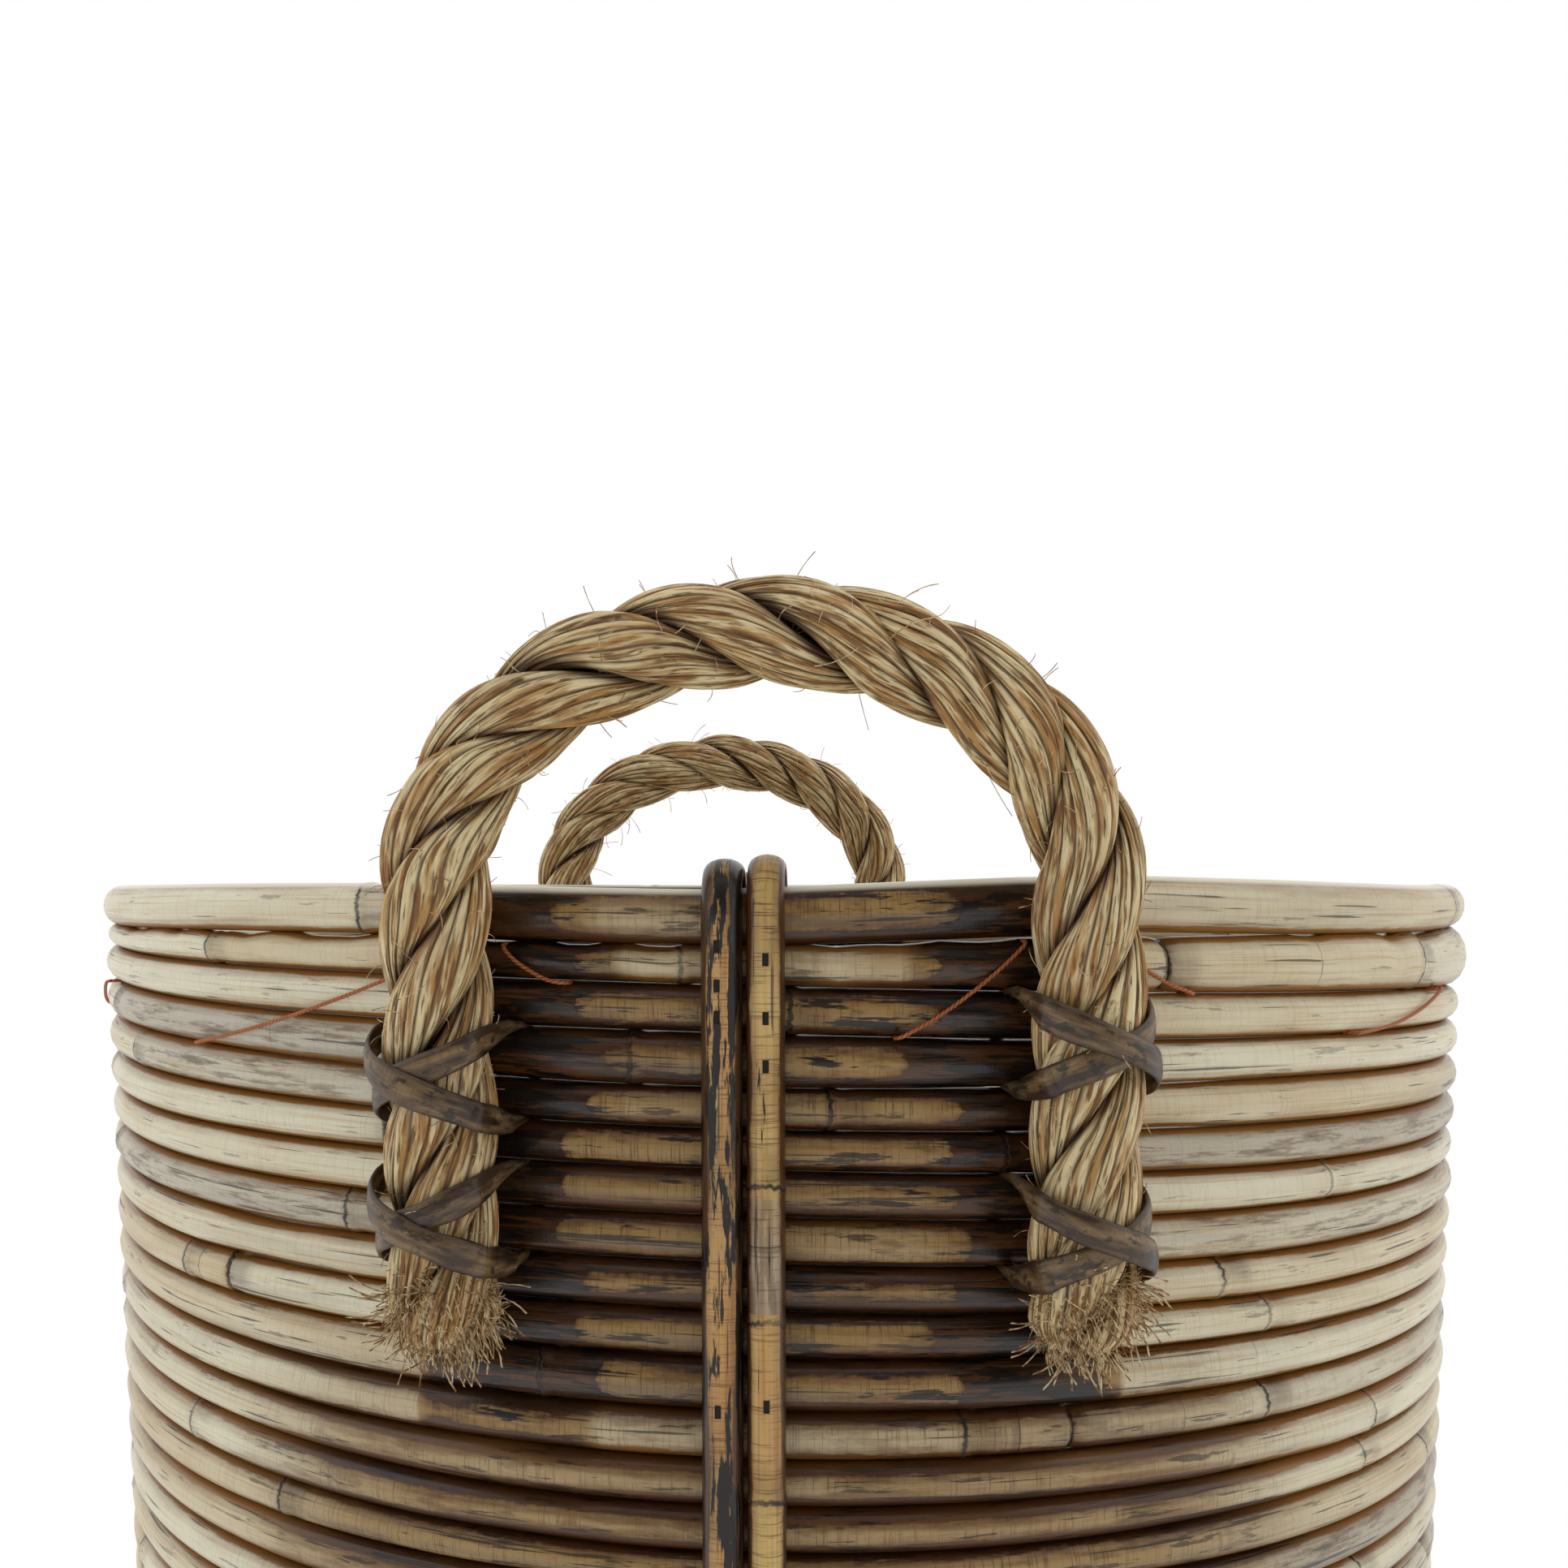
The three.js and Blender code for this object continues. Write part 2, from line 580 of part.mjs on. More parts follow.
// One thread of twine, from hole to hole over the outer face and along the inner face.
function twine(legAngle, route) {
  const off = { outside: twineSeat + twineDiameter / 2 };
  off.inside = -caneWidth - off.outside;
  const holes = route.map(([turn, courses]) => {
    const angle = legAngle + turn;
    const underRimCane = rimBottom - rimGap / 2;
    const height = courses === underRim ? underRimCane : jointHeight(courses, legAngle, angle);
    return { angle, height };
  });
  const stops = [];
  const stop = (angle, height, away, face) => {
    const at = wallPlace(angle, height, away);
    stops.push({ at, face: face ?? outward(angle) });
  };
  const pass = ({ angle, height }, outwards) => {
    const depths = [-caneWidth, -caneWidth * 0.75, -caneWidth * 0.25];
    (outwards ? depths : depths.reverse()).forEach((depth) => stop(angle, height, depth, up));
  };
  // Along one face of the wall, with a stop wherever the face has a corner.
  const along = (from, to, away) => {
    const corners = [];
    for (let turn = -1; turn <= 1; turn++) {
      corners.push(...wallCorners.map((corner) => corner + 360 * turn));
    }
    const inset = 0.5;
    const angles = [from.angle + inset, to.angle - inset];
    angles.push(...corners.filter((angle) => angle > angles[0] + 1 && angle < angles[1] - 1));
    angles.sort((a, b) => a - b);
    for (const angle of angles) {
      const share = (angle - from.angle) / (to.angle - from.angle);
      stop(angle, THREE.MathUtils.lerp(from.height, to.height, share), away);
    }
  };
  const tailTurn = THREE.MathUtils.radToDeg(twineTail / rimRadius);
  const first = holes[0];
  const last = holes[holes.length - 1];
  stop(first.angle - tailTurn, first.height, off.inside);
  stop(first.angle - tailTurn / 4, first.height, off.inside);
  holes.forEach((hole, k) => {
    const outwards = k % 2 === 0;
    pass(hole, outwards);
    if (k < holes.length - 1) {
      along(hole, holes[k + 1], outwards ? off.outside : off.inside);
    }
  });
  stop(last.angle + tailTurn / 4, last.height, off.inside);
  stop(last.angle + tailTurn, last.height, off.inside);
  return band(stops, twineDiameter, twineDiameter);
}

for (const [face, angle] of Object.entries(handleAngles)) {
  for (const [sideName, side, route] of [['left', -1, leftTwine], ['right', 1, rightTwine]]) {
    const rings = twine(angle + side * legTurn, route);
    console.log(`twine_${face}_${sideName}: least gap ${leastGap(rings, 2 * twineTail).toFixed(2)} mm`);
    add(`twine_${face}_${sideName}`, skin(rings, { twisted: true }), colours.twine);
  }
}

export default basket;
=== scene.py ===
import math

import bpy
import numpy as np
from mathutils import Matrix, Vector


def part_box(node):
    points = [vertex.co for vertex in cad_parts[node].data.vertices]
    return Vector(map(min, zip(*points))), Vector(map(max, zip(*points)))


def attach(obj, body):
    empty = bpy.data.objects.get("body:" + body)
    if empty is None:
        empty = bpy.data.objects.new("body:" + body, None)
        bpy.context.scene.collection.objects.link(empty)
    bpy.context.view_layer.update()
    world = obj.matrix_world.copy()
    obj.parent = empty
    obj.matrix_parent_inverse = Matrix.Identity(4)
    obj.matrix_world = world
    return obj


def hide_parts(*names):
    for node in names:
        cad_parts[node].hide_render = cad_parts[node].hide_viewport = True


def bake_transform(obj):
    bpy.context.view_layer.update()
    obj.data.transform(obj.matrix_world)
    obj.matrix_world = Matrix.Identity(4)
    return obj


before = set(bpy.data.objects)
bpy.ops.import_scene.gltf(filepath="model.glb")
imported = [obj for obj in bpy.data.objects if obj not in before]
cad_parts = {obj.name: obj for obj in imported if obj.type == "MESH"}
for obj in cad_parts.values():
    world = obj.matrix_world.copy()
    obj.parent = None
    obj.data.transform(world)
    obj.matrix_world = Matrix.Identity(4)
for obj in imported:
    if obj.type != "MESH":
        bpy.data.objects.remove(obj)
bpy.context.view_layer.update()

# Camera
# The picture is square, taken 0.64 m in front of the basket's axis at the rim's level, with the
# camera tilted up a little.
rim_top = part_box("rim_cane")[1].z
camera_distance = 0.643
camera_tilt = 3.17
picture_pixels = 1932
focal_pixels = 2240
sensor_width = 36

camera_lens = bpy.data.cameras.new("camera")
camera_lens.sensor_width = sensor_width
camera_lens.lens = sensor_width * focal_pixels / picture_pixels
camera = bpy.data.objects.new("camera", camera_lens)
camera.location = (0, -camera_distance, rim_top)
camera.rotation_euler = (math.radians(90 + camera_tilt), 0, 0)
bpy.context.scene.collection.objects.link(camera)
bpy.context.scene.camera = camera

# Wall canes
# Three strands of peeled cane climb side by side as one coil. Each strand is a row of poles butted
# end to end, bent cold round the basket and pinned to the stakes. Varnished, with dark nodes.
rim_radius = 0.225
rim_height = 0.012
rim_width = 0.0108
rim_middle = rim_top - rim_height / 2
wall_slope = 0.065
course_pitch = 0.0108
course_count = 28
coil_top = 0.3127
coil_base = coil_top - course_pitch * course_count
# A strand climbs one course in 120 degrees. Places along it are counted in courses down from the
# coil's top.
strand_turn = 120
strand_end_angle = 112
strand_tips = (0.35, 0.35, 0.92)
tip_ramp = 0.12
first_joints = (4.85, 1.27, 2.35)
pole_courses = 6.37
shortest_pole = 3
joint_gap = 0.0002
course_length = rim_radius * math.radians(strand_turn)
# A pole's section is part round and part squeezed by its neighbours, and its girth wanders.
cane_radius = 0.0051
round_share = 0.6
girth_wander = 0.00012
# How much thinner an end is, and over what length.
pole_end = (0.12, 0.0012)
cane_sides = 16
cane_step = 0.005
# A node is a ridge with a groove just past it. Rings of points lie closer together round it.
node_ridge = 0.045
node_width = 0.0017
groove_offset = 1.8 * node_width
groove_share = 0.7
node_step = 0.0007
node_steps = 5
wall_seed = 7
handle_angles = {"front": -1.3, "back": 187.3}


def outward(angle):
    turn = np.radians(angle)
    return np.stack([np.sin(turn), -np.cos(turn), np.zeros_like(turn)], -1)


def sideways(angle):
    turn = np.radians(angle)
    return np.stack([np.cos(turn), np.sin(turn), np.zeros_like(turn)], -1)


def place(angle, radius, height, aside=0.0):
    """Points at angles from the front, towards +X, round the basket's axis."""
    angle, radius, height = np.broadcast_arrays(angle, radius, height)
    points = outward(angle) * radius[..., None] + sideways(angle) * np.expand_dims(aside, -1)
    points[..., 2] = height
    return points


def wall_radius(height):
    """Radius of the middle of the wall's thickness at a height."""
    return rim_radius - rim_width / 2 - wall_slope * (rim_middle - height)


def smooth(x, low, high):
    """0 below low, 1 above high, with a smooth step between."""
    share = np.clip((np.asarray(x, float) - low) / (high - low), 0, 1)
    return share * share * (3 - 2 * share)


def rounded(from_end, depth, reach):
    """Share of the full thickness near an end, which is thinner by depth."""
    return 1 - depth * np.clip(1 - from_end / reach, 0, 1) ** 2


def waves(seed, count, shortest, longest):
    """A smooth random function, about -1 to 1, whose waves have lengths between two limits."""
    rng = np.random.default_rng(seed)
    lengths = rng.uniform(shortest, longest, count)
    phases = rng.uniform(0, 2 * np.pi, count)

    def value(x):
        x = np.asarray(x, float)[..., None]
        return np.sin(2 * np.pi * x / lengths + phases).sum(-1) / math.sqrt(count)

    return value


def give(obj, name, values):
    """Stores one number or vector for each vertex of a mesh."""
    values = np.asarray(values, np.float32)
    kind, field = ("FLOAT", "value") if values.ndim == 1 else ("FLOAT_VECTOR", "vector")
    attribute = obj.data.attributes.new(name, kind, "POINT")
    attribute.data.foreach_set(field, values.ravel())


def mesh_of(name, points, faces=()):
    mesh = bpy.data.meshes.new(name)
    mesh.from_pydata(np.asarray(points).reshape(-1, 3).tolist(), [], faces)
    return mesh


def in_scene(name, mesh):
    obj = bpy.data.objects.new(name, mesh)
    bpy.context.scene.collection.objects.link(obj)
    return obj


def piece_of(name, points, faces, material):
    mesh = mesh_of(name, points, faces)
    mesh.polygons.foreach_set("use_smooth", [len(face) == 4 for face in faces])
    mesh.materials.append(material)
    return in_scene(name, mesh)


def fit(obj, slot, *nodes):
    """The piece stands for these CAD nodes and stays with the basket. Its slot is not used."""
    if nodes:
        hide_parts(*nodes)
    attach(obj, "basket")


def ring_faces(rings, sides, closed=False, flipped=False, first=0):
    """Quads between rings of points, and a face over each end."""
    faces = []
    for i in range(rings if closed else rings - 1):
        here, there = first + i * sides, first + (i + 1) % rings * sides
        for k in range(sides):
            k2 = (k + 1) % sides
            faces.append((here + k, here + k2, there + k2, there + k))
    if not closed:
        last = first + (rings - 1) * sides
        faces.append(tuple(first + k for k in reversed(range(sides))))
        faces.append(tuple(last + k for k in range(sides)))
    return [face[::-1] for face in faces] if flipped else faces


def full_turn(sides):
    return np.linspace(0, 2 * np.pi, sides, endpoint=False)


def swept(middles, first, second, across, upward):
    """Rings of points round the middles, measured along two directions at each."""
    return middles[:, None] + across[..., None] * first[:, None] + upward[..., None] * second[:, None]


def lengths_along(points):
    steps = np.linalg.norm(np.diff(points, axis=0), axis=1)
    return np.concatenate([[0], np.cumsum(steps)])


def node_shape(gap):
    """The cane's thickness, as a share, at a distance past a node."""
    ridge = np.exp(-((gap / node_width) ** 2))
    groove = np.exp(-(((gap - groove_offset) / node_width) ** 2))
    return 1 + node_ridge * ridge - groove_share * node_ridge * groove


def add_close_steps(values, nodes, step):
    """Adds close steps on both sides of each node."""
    close = [node + k * step for node in nodes for k in range(-node_steps, node_steps + 1)]
    inside = [value for value in close if values[0] < value < values[-1]]
    return np.unique(np.concatenate([values, inside]))


def mark_cane(obj, along, across, upward, facing, nodes, stain, seed, looks=None):
    """Stores where each point lies in a cane, which its material reads. Each length between two
    nodes has its own lightness, greyness and share of dark skin."""
    rng = np.random.default_rng(seed)
    shift = 10 * rng.random()
    nodes = np.sort(np.asarray(nodes, float))
    to_node = along[:, None] - nodes[None, :]
    gap = to_node[np.arange(len(along)), np.abs(to_node).argmin(1)]
    table = rng.random((len(nodes) + 1, 3)) if looks is None else np.asarray(looks, float)
    give(obj, "cane", np.stack([along + shift, across, upward], -1))
    give(obj, "facing", facing)
    give(obj, "node_gap", gap)
    give(obj, "looks", table[np.searchsorted(nodes, along)])
    give(obj, "stain", stain)


def cane(name, middles, side, lift, half_side, half_lift, material, nodes, seed, sides=cane_sides,
         closed=False, stain=0.0, looks=None):
    """A cane through a row of middles. Its section is measured along the side and lift
    directions, and side is the way that its best face looks."""
    count = len(middles)
    side, lift = (np.broadcast_to(v, middles.shape) for v in (side, lift))
    along = lengths_along(middles)
    swelling = np.ones(count)
    for node in nodes:
        swelling *= node_shape(along - node)
    turn = full_turn(sides)
    across = (np.broadcast_to(half_side, count) * swelling)[:, None] * np.cos(turn)
    upward = (np.broadcast_to(half_lift, count) * swelling)[:, None] * np.sin(turn)
    points = swept(middles, side, lift, across, upward)
    flipped = np.dot(np.cross(side[0], lift[0]), middles[1] - middles[0]) < 0
    obj = piece_of(name, points, ring_faces(count, sides, closed, flipped), material)
    mark_cane(obj, np.repeat(along, sides), across.ravel(), upward.ravel(),
              np.tile(np.cos(turn), count), nodes,
              np.repeat(np.broadcast_to(stain, count), sides), seed, looks)
    return obj


def colour(red, green, blue):
    """A colour as a screen shows it, 0 to 255, in the shader's linear values."""
    shares = np.array([red, green, blue]) / 255
    linear = np.where(shares <= 0.04045, shares / 12.92, ((shares + 0.055) / 1.055) ** 2.4)
    return (*linear.tolist(), 1)


def arithmetic(operation, reflected=False):
    """An operator that adds a Math node."""

    def method(self, other):
        return self.math(operation, *((other, self) if reflected else (self, other)))

    return method


class Value:
    """An output of a node. Arithmetic on it adds nodes to the same tree."""

    def __init__(self, owner, output):
        self.owner = owner
        self.output = output

    def beside(self, output):
        """Another output of the same node."""
        return Value(self.owner, self.output.node.outputs[output])

    def math(self, operation, *values):
        return self.owner.node("ShaderNodeMath", dict(enumerate(values)), {"operation": operation})

    __add__ = __radd__ = arithmetic("ADD")
    __sub__ = arithmetic("SUBTRACT")
    __rsub__ = arithmetic("SUBTRACT", reflected=True)
    __mul__ = __rmul__ = arithmetic("MULTIPLY")
    __pow__ = arithmetic("POWER")

    def __abs__(self):
        return self.math("ABSOLUTE", self)

    def vector_math(self, operation, inputs, output=0):
        settings = {"operation": operation}
        return self.owner.node("ShaderNodeVectorMath", {0: self, **inputs}, settings, output)

    def part(self, axis):
        return self.owner.node("ShaderNodeSeparateXYZ", {0: self}, output=axis)

    def ramp(self, low, high):
        """0 below low and 1 above high, with a smooth step between."""
        settings = {"interpolation_type": "SMOOTHSTEP"}
        return self.owner.node("ShaderNodeMapRange", {0: self, 1: low, 2: high}, settings)

    def noise(self, *scales, detail=3, roughness=0.55, shift=0):
        """Smooth noise at this place, with a scale for each axis. A shift gives other noise."""
        where = self.vector_math("ADD", {1: (shift, 0, 0)}) if shift else self
        where = where.vector_math("MULTIPLY", {1: scales})
        inputs = {"Vector": where, "Scale": 1, "Detail": detail, "Roughness": roughness}
        return self.owner.node("ShaderNodeTexNoise", inputs)


class Nodes:
    """A node tree. The node method adds any node and gives one of its outputs."""

    def __init__(self, tree):
        self.tree = tree
        tree.nodes.clear()

    def node(self, kind, inputs=None, settings=None, output=0):
        node = self.tree.nodes.new(kind)
        for name, value in (settings or {}).items():
            setattr(node, name, value)
        for name, value in (inputs or {}).items():
            if isinstance(value, Value):
                self.tree.links.new(value.output, node.inputs[name])
            else:
                node.inputs[name].default_value = value
        return Value(self, node.outputs[output]) if node.outputs else None

    def position(self):
        return self.node("ShaderNodeTexCoord", output="Object")

    def ray(self, *kinds):
        """1 for the light rays of any of these kinds."""
        first, *others = (self.node("ShaderNodeLightPath", output=f"Is {kind} Ray") for kind in kinds)
        for other in others:
            first = first.math("MAXIMUM", first, other)
        return first


class Shader(Nodes):
    """A material's nodes."""

    def __init__(self, name):
        self.material = bpy.data.materials.new(name)
        self.material.use_nodes = True
        super().__init__(self.material.node_tree)

    def stored(self, name, output="Fac"):
        return self.node("ShaderNodeAttribute", {}, {"attribute_name": name}, output)

    def mix(self, share, first, second, blend="MIX"):
        settings = {"data_type": "RGBA", "blend_type": blend}
        return self.node("ShaderNodeMix", {0: share, 6: first, 7: second}, settings, 2)

    def layers(self, base, *coats):
        """A base colour with others laid over it, each with its share."""
        for share, over in coats:
            base = self.mix(share, base, over)
        return base

    def bump(self, height, distance):
        return self.node("ShaderNodeBump", {"Height": height, "Distance": distance})

    def finish(self, **sockets):
        inputs = {name.replace("_", " "): value for name, value in sockets.items()}
        surface = self.node("ShaderNodeBsdfPrincipled", inputs)
        self.node("ShaderNodeOutputMaterial", {"Surface": surface})
        return self.material


straw = colour(252, 245, 216)
tan = colour(214, 182, 124)
grey_cane = colour(184, 176, 164)
scuff_brown = colour(120, 92, 58)
patch_tan = colour(172, 134, 70)
blot_brown = colour(104, 74, 34)
lower_reflection_grey = colour(118, 106, 92)
burn_and_shade_tan = colour(116, 78, 32)
# Brown towards the gaps between courses: partly stain, partly painted shade.
gap_brown_and_shade = colour(164, 114, 52)
skin_brown = colour(84, 48, 16)
red_brown = colour(104, 60, 18)
stain_black = colour(24, 15, 9)


def cane_material(name, pale=straw, warm=tan, gap_and_shade_colour=gap_brown_and_shade, streaks=0.0, cracked=0.1,
                  pale_highlight_above=None):
    """Peeled, varnished cane. The face is pale, with fine cracks across it and grain along it.
    Towards the gaps it turns brown: partly stain left in the gaps, partly painted shade between the
    courses. Where the stored stain is higher, the face narrows to a ragged tan patch in dark skin, and
    at 1 it is gone; on the wall that stain holds painted shadow of the rope legs too. Nodes are thin
    dark rings. Above a height in the section, if one is given, the skin is painted pale: partly
    unstained skin, partly a painted highlight along the top."""
    shader = Shader(name)
    where = shader.stored("cane", "Vector")
    looks = shader.stored("looks", "Vector")
    gap = shader.stored("node_gap")
    facing = abs(shader.stored("facing"))
    stain = shader.stored("stain")
    lightness, greyness, skin_share = (looks.part(axis) for axis in range(3))
    cracks = where.noise(2300, 110, 110, detail=2)
    grain = where.noise(16, 1300, 1300)
    lines = where.noise(24, 900, 900, detail=2, shift=3)
    smears = where.noise(45, 380, 380, detail=4, roughness=0.65, shift=9)
    clouds = where.noise(24, 170, 170, detail=4)
    teeth = where.noise(900, 150, 150, roughness=0.6, shift=5)
    ragged = where.noise(130, 700, 700, detail=5, roughness=0.7)
    patches = where.noise(9, 120, 120, detail=4, shift=7)
    blots = where.noise(70, 260, 260, detail=4, roughness=0.65, shift=2)
    patchy = patches - 0.5
    cloudy = clouds - 0.5

    # The face: pale or warm, greyer on some lengths, tan where it is stained; on the wall that stain
    # holds painted shadow of the rope legs too.
    stained = stain.ramp(0.05, 0.4)
    plain = 1 - stained
    grey_share = greyness.ramp(0.6, 1.0) * 0.65 + (patches - 0.53).ramp(0, 0.2) * 0.4
    scuffed = greyness.ramp(0.75, 0.8) * (smears * 0.7 + ragged * 0.3).ramp(0.48, 0.58)
    crack_share = cracks.ramp(0.53, 0.66) * (cracked + (clouds - 0.3).ramp(0, 0.4) * stained * 0.6)
    # The lower half of a cane's section, where a painted reflection of the pale floor goes.
    reflection_half = (1 - where.part(2) * 260).ramp(0.8, 1.5)
    face = shader.layers(
        shader.mix(lightness * 0.7 + cloudy * 0.9 + 0.42, warm, pale),
        (grey_share * plain, grey_cane),
        (scuffed * plain * 0.6, scuff_brown),
        (stained * 0.95, patch_tan),
    )
    face = shader.layers(
        shader.mix(grain.ramp(0.45, 0.75) * 0.5, face, warm, "MULTIPLY"),
        ((blots - 0.5).ramp(0, 0.15) * stained * 0.6, blot_brown),
        (crack_share, skin_brown),
        # Patchy grey on the lower half of the stained face: a painted reflection of the pale floor.
        ((patches - 0.45).ramp(0, 0.14) * stained * reflection_half * 0.6, lower_reflection_grey),
    )

    # The face ends some way off its middle, turning brown towards a ragged edge, partly burnt and partly
    # painted shade between the courses. Dark skin follows; towards the gaps it is partly stain and partly
    # painted shade between the courses.
    off_middle = (1 - facing * facing) ** 0.5
    reach = 0.77 - stain * 0.5 - stain.ramp(0.6, 1.0) * 0.9
    reach = reach + (0.5 - skin_share) * (0.1 + stain * 0.5)
    reach = reach + cloudy * (0.25 + stain) + (ragged - 0.5) * (0.2 + stain * 0.8)
    inside = reach + (teeth - 0.5) * stain * 0.4 - off_middle
    burn_and_shade = (1 - (inside + cloudy * 0.5).ramp(0.0, 0.38)) * (0.3 + stained * 0.5)
    peeled = inside.ramp(-0.06, 0.06)
    dark = shader.layers(
        shader.mix((stain + patchy * 0.8).ramp(0.0, 0.35), gap_and_shade_colour, skin_brown),
        ((ragged + cloudy).ramp(0.4, 0.62) * stain.ramp(0.1, 0.5) * 0.6, stain_black),
        (patchy.ramp(0.0, 0.15) * stain.ramp(0.6, 1.0) * 0.6, red_brown),
    )
    mixed = shader.mix(peeled, dark, shader.mix(burn_and_shade, face, burn_and_shade_tan))

    # Dark lines and smears along the cane, more of them on stained lengths.
    line_share = (lines + stain * 0.1 + patchy * 0.3).ramp(0.66, 0.71)
    smear_share = (smears + stain * 0.12 + (skin_share - 0.5) * streaks).ramp(0.62, 0.67)

    # Each node is a thin curved ring, with a stained length on one side of it.
    bowed = gap + (1 - facing) * 0.0016 + (ragged - 0.5) * 0.0026
    ring = 1 - abs(bowed).ramp(0.0002, 0.0008)
    shade = (1 - abs(gap - 0.004).ramp(0.002, 0.008)) * clouds.ramp(0.35, 0.65)
    mixed = shader.layers(
        mixed,
        (line_share * 0.75, stain_black),
        (smear_share * (0.4 + stain + streaks * 2), stain_black),
        (shade * 0.5, skin_brown),
        (ring * (0.45 + clouds.ramp(0.35, 0.6) * 0.5), stain_black),
    )
    # The top of the section is painted pale: partly unstained skin, partly a painted highlight.
    if pale_highlight_above is not None:
        mixed = shader.mix((where.part(2) - pale_highlight_above).ramp(0, 0.0012) * 0.8, mixed, pale)
    height = grain * 0.4 + peeled * 0.6 - cracks * 0.4 - ring * 1.6 - line_share * 0.5
    return shader.finish(
        Base_Color=mixed,
        Roughness=0.34 + peeled * 0.2,
        Coat_Weight=0.2,
        Coat_Roughness=0.1,
        Normal=shader.bump(height, 0.00012),
    )


wall_finish = cane_material("peeled_cane")

# How far each joint between courses lies above an even coil's at the front, which joints each
# strand has under it, how many courses along this holds, and the nodes that show, by strand.
front_rises = (0.0005, 0.0002, -0.0016, -0.0004, 0.001, 0.001, 0.001, 0.0008, 0.0006, -0.0008,
               -0.0014, -0.0016, -0.0016)
front_joints = ((2, 5, 8, 11), (1, 4, 7, 10, 13), (3, 6, 9, 12))
front_reach = 0.42
seen_nodes = ((2.07,), (0.71, 3.6, 4.09, 6.51, 9.94, 13.45), (2.99, 6.4, 8.67, 9.35, 12.46))
# Other nodes are scattered along a pole, in courses: the first one, the rest, and their clearance
# from the ones that show.
first_node = (0.1, 0.35)
node_spacing = (0.45, 1.1)
node_clearance = 0.3
# The rim isn't quite even: how far its top and its bottom lie above an even ring's, by angle.
rim_bend_angles = (-90, -52, -26, -17, -5, 0, 14.5, 22.5, 34.5, 54, 90)
rim_tops = (0, 0.0001, 0.0004, -0.0002, -0.001, -0.0004, 0.0018, 0.0024, 0.0017, 0, 0)
rim_bottoms = (0, -0.0003, -0.0002, -0.0014, -0.0021, -0.0023, -0.0006, 0.0005, -0.0003, -0.0015, 0)
# Light shows through some joints, whose gap swings between two limits, as does the seat of the
# top course in the rim's underside.
gap_swing = 0.0009
gap_limits = (0.00002, 0.0011)
seat_depth = 0.0008
seat_swing = 0.001
seat_limits = (0.0001, 0.0011)
seat_rate = 5
course_wander = 0.00055
joint_wander = [waves(wall_seed + k, 5, 0.5, 3.2) for k in range(3)]
gap_waves = [waves(wall_seed + 10 + k, 6, 0.15, 0.9) for k in range(3)]
patch_waves = waves(wall_seed + 20, 9, 0.004, 0.03)
# The wall's dark skin at a handle, partly painted shadow of the rope legs: how dark, how far along
# the wall from the handle's middle, and how far below the rim.
scuff_stain = 0.28
scuff_range = (0.7, 1.4)
between_shadow_and_stain = 0.42
between_swing = 0.16
between_reach = (0.083, 0.086)
between_depths = (0.118, 0.134)
patch_edge = 0.053
patch_edge_swing = 0.006
patch_edge_limits = (-1.5, 0.6)
beside_shadow_and_stain = 0.75
beside_fade = 0.015
below_stain = 0.34
below_depths = (0.085, 0.15)
below_reach = (0.09, 0.19)


def strand_start(strand):
    return strand_end_angle + strand_turn * strand


def joint_drift(strand, down):
    """How far the joint under a strand lies off an even coil."""
    drift = course_wander * joint_wander[strand](down)
    for joint in front_joints[strand]:
        near = 1 - smooth(np.abs(down - joint), 0, front_reach)
        drift = drift * (1 - near) + front_rises[joint - 1] * near
    return drift


def rim_bend(rises, angle):
    return np.interp((np.asarray(angle) + 180) % 360 - 180, rim_bend_angles, rises)


def strand_edges(strand, down):
    """Heights of a strand's lower and upper edges."""
    low = coil_top - course_pitch * down + joint_drift(strand, down)
    level = coil_top - course_pitch * (down - 1)
    high = level + joint_drift((strand + 1) % 3, down - 1)
    tip = 1 + strand_tips[(strand + 1) % 3]
    fullness = np.clip((tip - down) / tip_ramp, 0, 1)
    high = high * (1 - fullness) + np.maximum(level, coil_top) * fullness
    gap = np.clip(gap_swing * (gap_waves[strand](down) - 1), *gap_limits)
    seat = coil_top + np.clip(seat_depth + seat_swing * gap_waves[strand](seat_rate * down), *seat_limits)
    seat = seat + rim_bend(rim_bottoms, strand_start(strand) + strand_turn * down)
    return np.maximum(low, coil_base) + gap / 2, np.minimum(high, seat) - gap / 2


def wall_stain_and_shadow(angle, height):
    """How dark the wall's skin is. Between the two rope legs of a handle it is about half, and beside
    the ropes and behind them it is full; there it is partly dark skin and partly painted shadow of the
    rope legs. It fades below the ropes' ends. Elsewhere a few lengths are scuffed."""
    angle = np.asarray(angle, float)
    stain = scuff_stain * smooth(patch_waves(angle * 0.0001 + height), *scuff_range)
    down = rim_top - height
    for middle in handle_angles.values():
        off = np.abs((angle - middle + 180) % 360 - 180) * math.radians(wall_radius(rim_middle))
        between = 1 - smooth(off, *between_reach)
        edge = patch_edge + patch_edge_swing * np.clip(patch_waves(height), *patch_edge_limits)
        beside = smooth(off, edge - beside_fade, edge)
        level = between_shadow_and_stain + between_swing * patch_waves(3 * height + 0.0002 * angle)
        depth = 1 - smooth(down, *between_depths)
        below = below_stain * smooth(down, *below_depths) * (1 - smooth(off, *below_reach))
        # Between and beside the legs: partly dark skin, partly painted shadow of the ropes.
        stained = between * (level + beside_shadow_and_stain * beside) * depth
        stain = np.maximum(stain, np.maximum(stained, below))
    return stain


